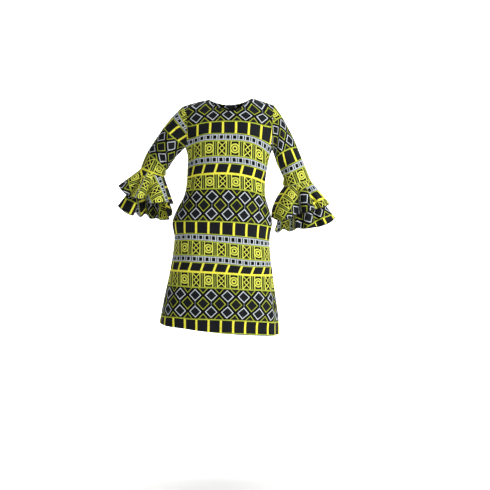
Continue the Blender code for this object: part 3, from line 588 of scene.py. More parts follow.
def printedCotton():
    # plain-woven cotton, resist-dyed and lightly waxed: a matt face with a soft low sheen,
    # a fine thread grid and a little unevenness in the dye
    look = cottonLook
    made = bpy.data.materials.new("plainWovenCottonWaxPrint")
    made.use_nodes = True
    tree = made.node_tree
    shader = tree.nodes["Principled BSDF"]
    cloth = addNode(tree, "ShaderNodeUVMap", uv_map="cloth")
    printed = addNode(tree, "ShaderNodeGroup", node_tree=waxPrintGroup())
    tree.links.new(cloth, printed.node.inputs[0])
    dye = addNode(tree, "ShaderNodeTexNoise", cloth)
    dye.node.inputs["Scale"].default_value = 1 / (look["dyePatch"] * mm)
    dye.node.inputs["Detail"].default_value = 4
    uneven = addNode(tree, "ShaderNodeMapRange", dye, 0.3, 0.7, 0.9, 1.06)
    shade = addNode(tree, "ShaderNodeVectorMath", printed, operation="SCALE")
    tree.links.new(uneven, shade.node.inputs["Scale"])
    tree.links.new(shade, shader.inputs["Base Color"])
    warp = addNode(tree, "ShaderNodeTexWave", cloth, out=1, wave_type="BANDS", bands_direction="X")
    weft = addNode(tree, "ShaderNodeTexWave", cloth, out=1, wave_type="BANDS", bands_direction="Y")
    for wave in (warp, weft):
        wave.node.inputs["Scale"].default_value = threadScale(look["threadSpacing"])
        wave.node.inputs["Distortion"].default_value = look["threadWander"]
    weave = addNode(tree, "ShaderNodeMath", warp, weft, operation="ADD")
    bumped(tree, shader, weave, look["threadBump"], 0.2)
    shader.inputs["Roughness"].default_value = look["roughness"]
    shader.inputs["IOR"].default_value = look["ior"]
    shader.inputs["Specular IOR Level"].default_value = look["specular"]
    shader.inputs["Sheen Weight"].default_value = look["sheen"]
    shader.inputs["Sheen Roughness"].default_value = look["sheenRoughness"]
    return made


def plainMaterial(name, colour, roughness, metallic=0.0, ior=1.5, sheen=0.0):
    made = bpy.data.materials.new(name)
    made.use_nodes = True
    shader = made.node_tree.nodes["Principled BSDF"]
    shader.inputs["Base Color"].default_value = linear(colour)
    shader.inputs["Roughness"].default_value = roughness
    shader.inputs["Metallic"].default_value = metallic
    shader.inputs["IOR"].default_value = ior
    shader.inputs["Sheen Weight"].default_value = sheen
    return made


cotton = printedCotton()
print("print made")

# torso panels
clothThickness = 0.6
calmEdge = 10  # rows and columns over which creases fade out towards a seam
seamGap = 0.15  # each half of the back keeps this far from the middle, in millimetres
torso = {}
for side, name in ((-1, "front"), (1, "back")):
    grid, turns = torsoGrid(side, neckline[name])
    heights = grid[..., 2].copy()
    normals = gridNormals(grid, False)
    normals = normals * np.sign((normals[..., 1] * side).sum())
    around360 = turns if side < 0 else 180 - turns
    rows, columns = grid.shape[:2]
    fromSide = np.minimum(np.arange(columns), np.arange(columns)[::-1])
    fromTop = np.arange(rows)[::-1]
    calm = smoothStep(fromSide / calmEdge)[None] * smoothStep(fromTop / calmEdge)[:, None]
    pushed = creased(grid, normals * calm[..., None], around360, heights)
    pushed = pushed + (ripple(around360, heights, 1 + side) * calm)[..., None] * normals
    down = downThePrint(turns, heights, side)
    levels = heights[:, columns // 2]
    if side < 0:
        zero = through([r[0] for r in zeroLine], [r[1] for r in zeroLine], levels)
    else:
        zero = middleAndHalf(levels)[0]
    across = acrossThePrint(grid, zero)
    keys = [row[0] for row in acrossEase]
    across = across * through(keys, [row[1] for row in acrossEase], down)
    across = across + through(keys, [row[2] for row in acrossEase], down)
    fresh = gridNormals(pushed, False)
    fresh = fresh * np.sign((fresh[..., 1] * side).sum())
    torso[name] = (pushed, pushed - clothThickness * fresh, np.stack([across, down], -1), grid)

outer, inner, cloth, plainFront = torso["front"]
frontPiece = clothMesh("frontCloth", outer, inner, cloth, False, cotton)
outer, inner, cloth, plainBack = torso["back"]
half = outer.shape[1] // 2
backPieces = []
for name, part, way in (("backLeftCloth", slice(0, half + 1), -1), ("backRightCloth", slice(half, None), 1)):
    walls = [outer[:, part].copy(), inner[:, part].copy()]
    for wall in walls:
        wall[:, -1 if way < 0 else 0, 0] += way * seamGap
    backPieces.append(clothMesh(name, *walls, cloth[:, part], False, cotton))
print("torso made")

# sleeves
sleeveForm = {  # along, outer x and z, inner x and z, middle y, half depth
    "left": (
        (0.14, -200, -57, -174, -186, 1, 50), (0.28, -228, -89, -188, -201, 5, 51),
        (0.5, -267, -143, -206, -222, 14, 49), (0.75, -301, -195, -221, -247, 24, 45),
        (1, -322.5, -246, -236.5, -274.5, 30, 42),
    ),
    "right": (
        (0.14, 178, -53, 151, -186, 1, 50), (0.28, 197, -86, 156, -205, 5, 52),
        (0.5, 227, -143, 167.5, -234, 14, 50), (0.75, 256, -212, 181.5, -266, 24, 46),
        (1, 286, -284.5, 190.5, -310, 30, 44),
    ),
    "cuffTilt": 0.1,
    "armholeGap": 0.7,
}
sleeveCreases = (  # along, turn, spread along and round, depth: the first four are the solids' own
    (0.3, 135, 0.09, 45, -5), (0.62, 230, 0.08, 40, -4), (0.84, 150, 0.07, 70, -5), (0.94, 210, 0.05, 60, 3),
)
sleeveLines = {  # place down the print, then how far along it runs at the outer side, in front, inside
    "left": ((69.7, 0.077, 0.004, -0.22), (47.2, 0.153, 0.049, -0.11), (0, 0.321, 0.221, 0.004),
             (-116.3, 0.72, 0.71, 0.81), (-174, 0.995, 0.985, 0.985)),
    "right": ((-116.3, 0.184, -0.037, -0.258), (0, 0.596, 0.458, 0.321), (47.2, 0.751, 0.707, 0.663),
              (69.7, 0.826, 0.801, 0.775), (122, 0.99, 0.985, 0.98)),
}
sleeveStart = {"left": (246, 246), "right": (314, 300)}  # turn of the print's middle column, top and elbow
sleeveMesh = {"round": 120, "rings": 72}


def ringFrame(table, along):
    keys = [row[0] for row in table]
    outerX, outerZ, innerX, innerZ, middleY, depth = (
        float(through(keys, [row[i] for row in table], along)) for i in range(1, 7)
    )
    outer, inner = np.array([outerX, middleY, outerZ]), np.array([innerX, middleY, innerZ])
    return (outer + inner) / 2, (outer - inner) / 2, depth


def sleeveRing(table, along, turns):
    centre, halfWidth, depth = ringFrame(table, along)
    tilt = np.array([0, 1, sleeveForm["cuffTilt"] * along])
    ring = centre + np.cos(turns)[:, None] * halfWidth + depth * np.sin(turns)[:, None] * tilt
    push = np.zeros(len(turns))
    for at, turn, spread, turnSpread, deep in sleeveCreases:
        off = (np.degrees(turns) - turn + 180) % 360 - 180
        push += deep * math.exp(-(((along - at) / spread) ** 2)) * np.exp(-((off / turnSpread) ** 2))
    push *= smoothStep((1 - along) / 0.06) * smoothStep(along / 0.15)
    return ring + push[:, None] * unit(ring - centre)


def armholeLoop(front, back, edge, way):
    # the armhole's edge as evenly shared points, from the shoulder tip down the back and up the
    # front, set off from its panels
    lowRows, count = torsoMesh["lowRows"], sleeveMesh["round"]
    found = []
    for panel in (front, back):
        line = panel[lowRows:, edge]
        out = line - panel[lowRows:, 1 if edge == 0 else -2]
        run = unit(np.gradient(line, axis=0))
        out = unit(out - (out * run).sum(1, keepdims=True) * run)
        found.append((line, out))
    (frontLine, frontOut), (backLine, backOut) = found
    rows = len(frontLine)
    wanted = np.arange(count // 2 + 1) / (count // 2) * (rows - 1)

    def pick(values, at):
        low = np.clip(at.astype(int), 0, rows - 2)
        part = (at - low)[:, None]
        return values[low] * (1 - part) + values[low + 1] * part

    downBack = pick(backLine, wanted[::-1])
    upFront = pick(frontLine, wanted)
    awayBack, awayFront = pick(backOut, wanted[::-1]), pick(frontOut, wanted)
    top, bottom = (downBack[0] + upFront[-1]) / 2, (downBack[-1] + upFront[0]) / 2
    loop = np.concatenate([[top], downBack[1:-1], [bottom], upFront[1:-1]])
    away = np.concatenate([[[way, 0, 0]], awayBack[1:-1], [[way, 0, 1]], awayFront[1:-1]])
    return loop + sleeveForm["armholeGap"] * away


def sleeveGrid(table, loop):
    turns = np.radians(np.arange(len(loop)) * 360 / len(loop))
    first = table[0][0]
    grid, places = [loop], [0.0]
    for along in np.linspace(0, 1, sleeveMesh["rings"] + 1)[1:]:
        ring = sleeveRing(table, max(along, first), turns)
        if along < first:
            ring = loop + (ring - loop) * along / first
        grid.append(ring)
        places.append(along)
    return np.array(grid), np.array(places), np.degrees(turns)


def outwardNormals(grid):
    normals = gridNormals(grid, True)
    return normals * np.sign((normals * (grid - grid.mean(1, keepdims=True))).sum())


sleeveWrinkles = {  # along and turn of both ends, width in mm, depth
    "left": (
        (0.1, 300, 0.34, 214, 9, -2.6), (0.2, 316, 0.5, 226, 10, 2.0), (0.55, 300, 0.72, 200, 8, -2.6),
        (0.66, 310, 0.86, 206, 8, 2.2), (0.78, 296, 0.95, 196, 7, -2.4), (0.3, 40, 0.6, 120, 11, -2.4),
        (0.6, 30, 0.85, 130, 9, 2.2), (0.05, 280, 0.2, 200, 8, -2.2),
    ),
    "right": (
        (0.08, 292, 0.32, 208, 9, -2.6), (0.2, 312, 0.46, 220, 10, 2.0), (0.52, 306, 0.68, 204, 9, -2.4),
        (0.7, 300, 0.84, 210, 8, 2.0), (0.82, 292, 0.95, 204, 7, -2.2), (0.3, 50, 0.6, 125, 11, -2.4),
        (0.62, 40, 0.86, 130, 9, 2.0), (0.05, 276, 0.18, 200, 8, -2.2),
    ),
    "length": 240, "perDegree": 0.9,  # millimetres down a sleeve, and round it for each degree
}


def wrinkled(grid, places, turns, creases):
    normals = outwardNormals(grid)
    push = np.zeros(grid.shape[:2])
    long, perDegree = sleeveWrinkles["length"], sleeveWrinkles["perDegree"]
    for number, (a0, t0, a1, t1, width, depth) in enumerate(creases):
        run = np.array([(a1 - a0) * long, (t1 - t0) * perDegree])
        length = np.hypot(*run)
        da = (places[:, None] - a0) * long
        dt = (turns[None] - t0) * perDegree
        along = (da * run[0] + dt * run[1]) / length**2
        off = (da * run[1] - dt * run[0]) / length + 2.5 * np.sin(along * 6 + number)
        fade = smoothStep((along + 0.1) / 0.4) * smoothStep((1.1 - along) / 0.4)
        push += depth * fade * np.exp(-((off / width) ** 2))
    calm = smoothStep(places / 0.06) * smoothStep((1 - places) / 0.06)
    return grid + (push * calm[:, None])[..., None] * normals


def sleevePrint(grid, places, turns, name):
    # place across and down the print for each point of a sleeve
    turns = np.append(turns, 360)
    c = np.cos(np.radians(turns))[None]
    lines = []
    for v, outside, front, inside in sleeveLines[name]:
        lines.append((v, outside * (c * c + c) / 2 + front * (1 - c * c) + inside * (c * c - c) / 2))
    at = places[:, None] + 0 * c
    v0, v1 = lines[0], lines[1]
    down = v0[0] + (at - v0[1]) / (v1[1] - v0[1]) * (v1[0] - v0[0])
    for low, high in zip(lines[1:], lines[2:]):
        part = (at - low[1]) / (high[1] - low[1])
        down = np.where(part >= 0, low[0] + part * (high[0] - low[0]), down)
    steps = np.linalg.norm(np.roll(grid, -1, 1) - grid, axis=2)
    runs = np.concatenate([np.zeros((len(grid), 1)), np.cumsum(steps, 1)], 1)
    top, elbow = sleeveStart[name]  # it leans over between a tenth and six tenths of the way down
    middles = top + (elbow - top) * smoothStep((places - 0.1) / 0.5)
    zero = [np.interp(middle, turns, run) for middle, run in zip(middles, runs)]
    return np.stack([runs - np.array(zero)[:, None], down], -1)


def cuffAxes(table):
    centre, halfWidth, depth = ringFrame(table, 1)
    inward = -unit(halfWidth)
    back = unit(np.array([0, 1, sleeveForm["cuffTilt"]]))
    back = unit(back - inward * (back @ inward))
    down = np.cross(inward, back)
    return centre, np.linalg.norm(halfWidth), depth, inward, back, down * np.sign(-down[2])


# flared tiers: hem points round each one from its elbow seam's middle, with bulge and sink
tierForm = {
    "upperLeft": (
        (76, 5, -111, 0, 2), (58, 36, -112, -3, 3), (62, 76, -94, 0, 4), (28, 66, -104, -4, 3),
        (8, 104, -86, 0, 4), (-20, 76, -96, -4, 3), (-50, 98, -74, 0, 4), (-70, 62, -80, -4, 3),
        (-106, 50, -54, 0, 4), (-100, 22, -64, -3, 2), (-121, -8, -45, 0, 1), (-97, -46, -71, 0, 2),
        (-83, -40, -84, -3, 3), (-64, -78, -88, 2, 3), (-42, -80, -92, 2, 3), (-24, -50, -93, -4, 3),
        (-3, -82, -109, 2, 3), (21, -86, -107, 3, 3), (46, -68, -104, 3, 3), (64, -30, -107, 0, 2),
    ),
    "lowerLeft": (
        (70, 14, -150, -4, 4), (52, 38, -162, -8, 4), (56, 68, -171, -8, 4), (26, 46, -172, -10, 4),
        (8, 82, -168, -8, 6), (-12, 54, -168, -12, 4), (-34, 90, -152, -8, 6), (-50, 58, -162, -12, 4),
        (-80, 80, -136, -8, 6), (-86, 48, -148, -12, 4), (-117, 42, -118, -8, 5), (-108, 20, -132, -10, 4),
        (-125, -4, -118, -8, 4), (-103, -28, -136, -8, 4), (-86, -38, -146, -8, 4), (-66, -38, -152, -6, 6),
        (-58, -30, -112, 4, 14), (-34, -30, -88, 8, 22), (0, -36, -82, 8, 24), (30, -34, -84, 8, 22),
        (56, -14, -104, 4, 12),
    ),
    "upperRight": (
        (-91, 2, -120, 27, 2), (-73, 36, -121, 10, 3), (-74, 74, -106, 2, 4), (-38, 66, -114, -4, 3),
        (-14, 106, -94, 0, 4), (16, 76, -104, -4, 3), (50, 100, -82, 0, 4), (66, 62, -90, -4, 3),
        (104, 52, -68, 0, 4), (98, 22, -78, -3, 2), (117, -8, -73, 0, 1), (104, -36, -81, 0, 2),
        (88, -54, -87, 1, 2), (72, -42, -92, -3, 3), (54, -74, -94, 2, 3), (27, -74, -104, 2, 3),
        (8, -48, -110, -4, 3), (-11, -64, -112, 0, 3), (-31, -86, -125, 4, 3), (-54, -84, -132, 12, 3),
        (-82, -46, -127, 24, 3),
    ),
    "lowerRight": (
        (-78, 12, -174, -4, 4), (-64, 34, -180, -8, 4), (-50, 28, -168, -12, 4), (-24, 58, -178, -10, 6),
        (-8, 42, -172, -14, 4), (12, 84, -162, -8, 6), (36, 56, -166, -12, 4), (62, 86, -146, -8, 6),
        (74, 54, -154, -12, 4), (114, 56, -126, -8, 6), (110, 26, -138, -10, 4), (137, -6, -124, -6, 4),
        (117, -34, -140, -6, 4), (94, -48, -149, -6, 4), (78, -38, -155, -10, 4), (60, -62, -156, -6, 5),
        (35, -62, -160, -6, 5), (18, -42, -162, -10, 4), (0, -54, -159, -6, 5), (-14, -46, -160, -6, 6),
        (-22, -36, -126, 4, 12), (-42, -34, -108, 8, 16), (-64, -14, -134, 2, 8),
    ),
    "cuffGap": 0.4, "tierGap": 0.4, "wall": 1.5, "clearance": 1.2, "coverReach": 9, "leastReach": 5,
}
tierPrint = {  # for each stretch between deep folds: the share where it starts, then the share where the
    # print runs straight down it, the places down and across there, and how much shorter the flare shows it
    "upperLeft": (
        (0.775, 0.967, 27.5, -57.8, 0.91), (0.7, 0.735, 97.6, -55, 1), (0, 0.806, 134, -56.3, 0.82),
    ),
    "upperRight": (
        (0.76, 0.9855, 148.5, -0.7, 0.836), (0.665, 0.9654, 160, -54, 0.985), (0, 0.9654, 38.8, 49.2, 1),
    ),
    # the lower left tier's stretches lie on the print's lattice and box rows: the thin lines on black there
    # are its print, and these darkest rows are also chosen as painted shade where the tier hangs under the
    # upper one
    "lowerLeft": (
        (0.92, 1.41, 97, 36.75, 1), (0.8, 1.31, 97, 10, 1), (0.47, 1.102, 165, 30, 1), (0, 1.102, 290, 30, 1),
    ),
    "lowerRight": ((0.8, 1.398, -222, 0, 1), (0, 1.108, 123, 5.4, 1)),
    "foldWidth": 0.022,
}
tierMesh = {"round": 288, "upperRings": 30, "lowerRings": 36}


def tierGrid(sleeve, name, inset, gap, rings):
    centre, halfWidth, depth, inward, back, down = cuffAxes(sleeve)
    table = np.array(tierForm[name], float)
    lengths = np.linalg.norm(np.roll(table[:, :3], -1, 0) - table[:, :3], axis=1)
    keys = np.concatenate([[0], np.cumsum(lengths)[:-1]]) * 360 / lengths.sum()
    turns = np.arange(tierMesh["round"]) * 360 / tierMesh["round"]
    x, y, z, bulge, sink = (around(keys, table[:, i], turns) for i in range(5))
    end = centre + np.stack([x, y, z], -1)
    roundIt = np.radians(turns)[:, None]
    out = np.cos(roundIt) * inward + np.sin(roundIt) * back
    start = centre + gap * down
    start = start + np.cos(roundIt) * (halfWidth - inset) * inward + np.sin(roundIt) * (depth - inset) * back
    control = (start + end) / 2 + bulge[:, None] * out + sink[:, None] * down
    shares = np.linspace(0, 1, rings + 1)
    return np.array([(1 - s) ** 2 * start + 2 * s * (1 - s) * control + s**2 * end for s in shares])


def toCuff(points, sleeve):
    centre, _, _, inward, back, down = cuffAxes(sleeve)
    off = points - centre
    x, y = off @ inward, off @ back
    return np.arctan2(y, x), np.hypot(x, y), off @ down


def keptInside(grid, cover, sleeve, gap):
    # the grid, drawn in wherever it would come closer to its cover than the gap
    centre, _, _, _, _, down = cuffAxes(sleeve)
    coverTurn, coverReach, coverDrop = (a.ravel() for a in toCuff(cover, sleeve))
    made = grid.copy()
    for i in range(1, len(grid)):
        turn, reach, drop = toCuff(grid[i], sleeve)
        off = np.abs((coverTurn[None] - turn[:, None] + math.pi) % (2 * math.pi) - math.pi) * reach[:, None]
        distance = np.hypot(off, coverDrop[None] - drop[:, None])
        limit = np.where(distance < tierForm["coverReach"], coverReach[None], np.inf).min(1) - gap
        share = np.minimum(1, np.maximum(limit, tierForm["leastReach"]) / reach)
        fall = drop[:, None] * down
        made[i] = centre + fall + (grid[i] - centre - fall) * share[:, None]
    return made


def tierCloth(grid, name):
    # place on the print of a tier cut as part of a flat ring
    rings = np.linalg.norm(np.roll(grid, -1, 1) - grid, axis=2)
    seam, hem = rings[0].sum(), rings[-1].sum()
    runs = np.linalg.norm(np.diff(grid, axis=0), axis=2)
    deep = runs.sum(0).mean()
    fan = (hem - seam) / deep
    inside = seam / fan
    share = np.append(0, np.cumsum(rings[-1])) / hem
    reach = inside + np.concatenate([np.zeros((1, grid.shape[1])), np.cumsum(runs, 0)])
    reach = np.concatenate([reach, reach[:, :1]], 1)
    cloth, above = 0, 1
    for begin, straight, down, across, ease in tierPrint[name]:  # each covers what the ones before leave
        angle = (straight - share[None]) * fan
        here = np.stack([across + reach / ease * np.cos(angle), down + reach * np.sin(angle)], -1)
        past = smoothStep((share - begin) / tierPrint["foldWidth"] + 0.5) if begin else np.ones(len(share))
        cloth = cloth + (above * past)[None, :, None] * here
        above = above * (1 - past)
    return cloth, {"fan": fan, "inside": inside, "deep": deep}


sleevePieces, tierPieces, tierFlats, tierWalls, sleeveCuts = {}, {}, {}, {}, {}
for side, edge, way in (("left", 0, -1), ("right", -1, 1)):
    table = sleeveForm[side]
    loop = armholeLoop(plainFront, plainBack, edge, way)
    grid, places, turns = sleeveGrid(table, loop)
    cloth = sleevePrint(grid, places, turns, side)
    rounds = np.linalg.norm(np.roll(grid, -1, 1) - grid, axis=2).sum(1)
    deep = np.linalg.norm(np.diff(grid, axis=0), axis=2).sum(0)
    sleeveCuts[side] = (round(float(rounds.max()) * mm, 3), round(float(deep.max()) * mm, 3))
    grid = wrinkled(grid, places, turns, sleeveWrinkles[side])
    walls = grid - clothThickness * outwardNormals(grid)
    sleevePieces[side] = clothMesh(f"{side}SleeveCloth", grid, walls, cloth, True, cotton)
    name = f"upper{side.title()}"
    over = tierGrid(table, name, 0, tierForm["cuffGap"], tierMesh["upperRings"])
    overCloth, tierFlats[name] = tierCloth(over, name)
    tierWalls[name] = (over, over - clothThickness * outwardNormals(over))
    tierPieces[name] = clothMesh(f"{side}UpperTierCloth", *tierWalls[name], overCloth, True, cotton)
    coverInner = over - tierForm["wall"] * outwardNormals(over)
    name = f"lower{side.title()}"
    inset = tierForm["wall"] + tierForm["tierGap"]
    under = tierGrid(table, name, inset, 2 * tierForm["cuffGap"], tierMesh["lowerRings"])
    under = keptInside(under, coverInner, table, tierForm["clearance"])
    underCloth, tierFlats[name] = tierCloth(under, name)
    tierWalls[name] = (under, under - clothThickness * outwardNormals(under))
    tierPieces[name] = clothMesh(f"{side}LowerTierCloth", *tierWalls[name], underCloth, True, cotton)
print("sleeves and tiers made")

# dark woven cloths and enamel

darkCloth = {  # lint is in patches a metre
    "roughness": 0.86, "sheen": 0.08, "lint": 260, "threadWander": 0.5, "threadBump": 0.3, "rib": 0.4,
}


def wovenPlain(name, colour, threadSpacing, ribbed=False):
    # close plain weave, dyed dark: matt, with fine threads crossing and a little lint in the colour
    made = plainMaterial(name, colour, darkCloth["roughness"], sheen=darkCloth["sheen"])
    tree = made.node_tree
    shader = tree.nodes["Principled BSDF"]
    place = addNode(tree, "ShaderNodeTexCoord", out=3)
    lint = addNode(tree, "ShaderNodeTexNoise", place)
    lint.node.inputs["Scale"].default_value = darkCloth["lint"]
    dyed = addNode(tree, "ShaderNodeMapRange", lint, 0.3, 0.7, 0.8, 1.25)
    shade = addNode(tree, "ShaderNodeVectorMath", linear(colour)[:3], operation="SCALE")
    tree.links.new(dyed, shade.node.inputs["Scale"])
    tree.links.new(shade, shader.inputs["Base Color"])
    threads = []
    for way in ("X", "Z"):
        wave = addNode(tree, "ShaderNodeTexWave", place, out=1, wave_type="BANDS", bands_direction=way)
        finer = darkCloth["rib"] if ribbed and way == "X" else 1
        wave.node.inputs["Scale"].default_value = threadScale(threadSpacing * finer)
        wave.node.inputs["Distortion"].default_value = darkCloth["threadWander"]
        threads.append(wave)
    crossing = addNode(tree, "ShaderNodeMath", *threads, operation="ADD")
    bumped(tree, shader, crossing, darkCloth["threadBump"], 0.2)
    return made


enamelLook = {  # peel and wear are in patches a metre
    "roughness": (0.24, 0.44), "greys": ("#0b0b0b", "#272727"), "peel": 900, "wear": 350, "peelBump": 0.15,
}


def dippedEnamel():
    # die-cast zinc under black enamel: smooth and glossy, a little orange peel, greyer where it rubs
    look = enamelLook
    made = plainMaterial("blackEnamelOnDieCastZinc", "#0c0c0e", look["roughness"][0])
    tree = made.node_tree
    shader = tree.nodes["Principled BSDF"]
    place = addNode(tree, "ShaderNodeTexCoord", out=3)
    peel = addNode(tree, "ShaderNodeTexNoise", place)
    peel.node.inputs["Scale"].default_value = look["peel"]
    worn = addNode(tree, "ShaderNodeTexNoise", place)
    worn.node.inputs["Scale"].default_value = look["wear"]
    gloss = addNode(tree, "ShaderNodeMapRange", worn, 0.35, 0.75, *look["roughness"])
    tree.links.new(gloss, shader.inputs["Roughness"])
    greys = [linear(shade)[0] for shade in look["greys"]]
    rubbed = addNode(tree, "ShaderNodeMapRange", worn, 0.55, 0.8, *greys)
    grey = addNode(tree, "ShaderNodeCombineXYZ", rubbed, rubbed, rubbed)
    tree.links.new(grey, shader.inputs["Base Color"])
    bumped(tree, shader, peel, look["peelBump"], 0.1)
    return made


pocketing = wovenPlain("plainWovenBlackPocketing", "#1b1c20", 0.45)
tapeCloth = wovenPlain("ribbedWovenZipTape", "#131417", 0.6, ribbed=True)
thread = wovenPlain("twistedBlackSewingThread", "#101013", 0.3)
enamel = dippedEnamel()

for node, material in (
    ("pocket_left", pocketing), ("pocket_right", pocketing), ("zip_tape", tapeCloth),
    ("zip_slider", enamel), ("zip_pull", enamel),
):
    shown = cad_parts[node]
    if not shown.material_slots:
        shown.data.materials.append(None)
    for place in shown.material_slots:
        place.material = material

# sewing: rows of lockstitch laid on the cloth
sewing = {"stitch": 2.6, "pitch": 3.4, "thread": 0.45, "sunk": 0.1, "hemRise": 20, "neckIn": 6}


def sewnPart(name, points, faces, material, smooth=False):
    mesh = bpy.data.meshes.new(name)
    mesh.from_pydata((points.reshape(-1, 3) * mm).tolist(), [], faces)
    mesh.polygons.foreach_set("use_smooth", [smooth] * len(faces))
    mesh.materials.append(material)
    made = bpy.data.objects.new(name, mesh)
    bpy.context.scene.collection.objects.link(made)
    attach(made, "dress")
    return made


def stitchRow(points, normals):
    steps = np.linalg.norm(np.diff(points, axis=0), axis=1)
    run = np.append(0, np.cumsum(steps))
    starts = np.arange(1, run[-1] - sewing["stitch"], sewing["pitch"])
    ends = []
    for at in (starts, starts + sewing["stitch"]):
        ends.append(np.stack([np.interp(at, run, points[:, i]) for i in range(3)], -1))
    up = unit(np.stack([np.interp(starts, run, normals[:, i]) for i in range(3)], -1))
    along = unit(ends[1] - ends[0])
    wide = np.cross(along, up) * sewing["thread"] / 2
    rise = up * sewing["thread"] * 0.6
    middle = (ends[0] + ends[1]) / 2
    sunk = sewing["sunk"] * up
    corners = [ends[0] - sunk, middle + wide, middle - wide, ends[1] - sunk, middle + rise, middle - 2 * sunk]
    return np.stack(corners, 1)


def stitches(name, rows):
    corners = np.concatenate([stitchRow(points, normals) for points, normals in rows])
    count = len(corners)
    sides = np.array([(0, 1, 4), (1, 3, 4), (3, 2, 4), (2, 0, 4), (1, 0, 5), (3, 1, 5), (2, 3, 5), (0, 2, 5)])
    faces = (np.arange(count)[:, None, None] * 6 + sides[None]).reshape(-1, 3)
    return sewnPart(name, corners, faces.tolist(), thread)


def rowAt(grid, normals, rise, columns):
    # the line on the cloth that lies this far above the bottom edge
    steps = np.linalg.norm(np.diff(grid, axis=0), axis=2)
    runs = np.append(np.zeros((1, grid.shape[1])), np.cumsum(steps, 0), 0)
    points, ups = [], []
    for c in range(grid.shape[1])[columns]:
        points.append([np.interp(rise, runs[:, c], grid[:, c, i]) for i in range(3)])
        ups.append([np.interp(rise, runs[:, c], normals[:, c, i]) for i in range(3)])
    return np.array(points), np.array(ups)


sewn = {}
middleColumn = torsoMesh["columns"] // 2
neckStart, neckEnd = torsoMesh["columns"] // 4, torsoMesh["columns"] * 3 // 4 + 1
for name, panel, whole, neck in (
    ("front", "front", slice(None), slice(neckStart, neckEnd)),
    ("backLeft", "back", slice(0, middleColumn), slice(neckStart, middleColumn)),
    ("backRight", "back", slice(middleColumn + 1, None), slice(middleColumn + 1, neckEnd)),
):
    outer = torso[panel][0]
    normals = unit(outer - torso[panel][1])
    hem = rowAt(outer, normals, sewing["hemRise"], whole)
    top = rowAt(outer[::-1], normals[::-1], sewing["neckIn"], neck)
    sewn[name] = stitches(f"{name}Stitches", [hem, top])

# the tiers' hems: a narrow rolled edge overlocked in black thread
hemRoll = {"thick": 0.8, "uneven": 0.1, "waves": 2.1, "high": 2.2, "raised": 1.1, "sides": 8}


def rolledHem(name, outer, inner):
    ring = (outer[-1] + inner[-1]) / 2
    away = unit(outer[-1] - outer[-2])
    side = unit(outer[-1] - inner[-1])
    sides, count = hemRoll["sides"], len(ring)
    rounds = np.radians(np.arange(sides) * 360 / sides)[:, None, None]
    thick = hemRoll["thick"] + hemRoll["uneven"] * np.sin(np.arange(count) * hemRoll["waves"])
    oval = hemRoll["high"] * np.cos(rounds) * away[None] + np.sin(rounds) * side[None]
    tube = ring[None] - hemRoll["raised"] * away[None] + thick[None, :, None] * oval
    at = np.arange(sides * count).reshape(sides, count)
    above = np.roll(at, -1, 0)
    quads = np.stack([at, np.roll(at, -1, 1), np.roll(above, -1, 1), above], -1).reshape(-1, 4)
    return sewnPart(name, tube, quads.tolist(), thread, smooth=True)


tierHems = {}
for name, walls in tierWalls.items():
    tierHems[name] = rolledHem(f"{name}RolledHem", *walls)

# the zip's coil: close nylon loops sewn along the inside of the tape
coil = {
    "pitch": 1.3, "half": 1.5, "thick": 0.9, "wire": 0.25, "tapeDepth": 3.35, "top": -34, "bottom": -415,
    # each loop's corners: across and towards the back in shares of its size, up in shares of the pitch
    "loop": (
        (-1, 0, 0.2), (-0.3, 1, 0.42), (0.3, 1, 0.42), (1, 0, 0.2), (0.3, -0.6, -0.42), (-0.3, -0.6, -0.42),
    ),
}


def zipCoil():
    heights = np.arange(coil["bottom"], coil["top"], coil["pitch"])
    here = torsoPoint(np.zeros(len(heights)), heights, 1)
    up = unit(np.gradient(here, axis=0) * (0, 1, 1))
    right = np.array([1.0, 0, 0])
    out = np.cross(up, right)
    out = out * np.sign(out[:, 1:2])
    middle = here - coil["tapeDepth"] * out
    points = []
    for x, y, z in coil["loop"]:
        corner = middle + x * coil["half"] * right - (y * coil["thick"] / 2) * out
        for lift in (-coil["wire"], coil["wire"]):
            points.append(corner + (z + lift) * coil["pitch"] * up)
    points = np.stack(points, 1)
    ring = np.arange(6) * 2
    faces = [(ring[i], ring[(i + 1) % 6], ring[(i + 1) % 6] + 1, ring[i] + 1) for i in range(6)]
    quads = (np.arange(len(heights))[:, None, None] * 12 + np.array(faces)[None]).reshape(-1, 4)
    caps = [tuple(ring[::-1]), tuple(ring + 1)]
    ends = (np.arange(len(heights))[:, None, None] * 12 + np.array(caps)[None]).reshape(-1, 6)
    return sewnPart("zipCoil", points, quads.tolist() + ends.tolist(), enamel)


coilPiece = zipCoil()
print("sewing and zip made")

# bodies, what each shell stands for, and the size each was cut to

def surfaceOf(piece):
    return sum(face.area for face in piece.data.polygons) / 2


def cutSize(grid):
    rows = np.linalg.norm(np.diff(grid, axis=1), axis=2).sum(1)
    columns = np.linalg.norm(np.diff(grid, axis=0), axis=2).sum(0)
    return round(float(rows.max()) * mm, 3), round(float(columns.max()) * mm, 3)


def ringCut(flat):
    # a part of a flat ring: the rectangle that holds it, and its own area
    outside = flat["inside"] + flat["deep"]
    half = flat["fan"] / 2
    width = 2 * outside * (math.sin(half) if half < math.pi / 2 else 1)
    length = outside - (flat["inside"] if half < math.pi / 2 else outside) * math.cos(half)
    area = half * (outside**2 - flat["inside"] ** 2)
    return (round(width * mm, 3), round(length * mm, 3)), round(area * mm * mm, 4)


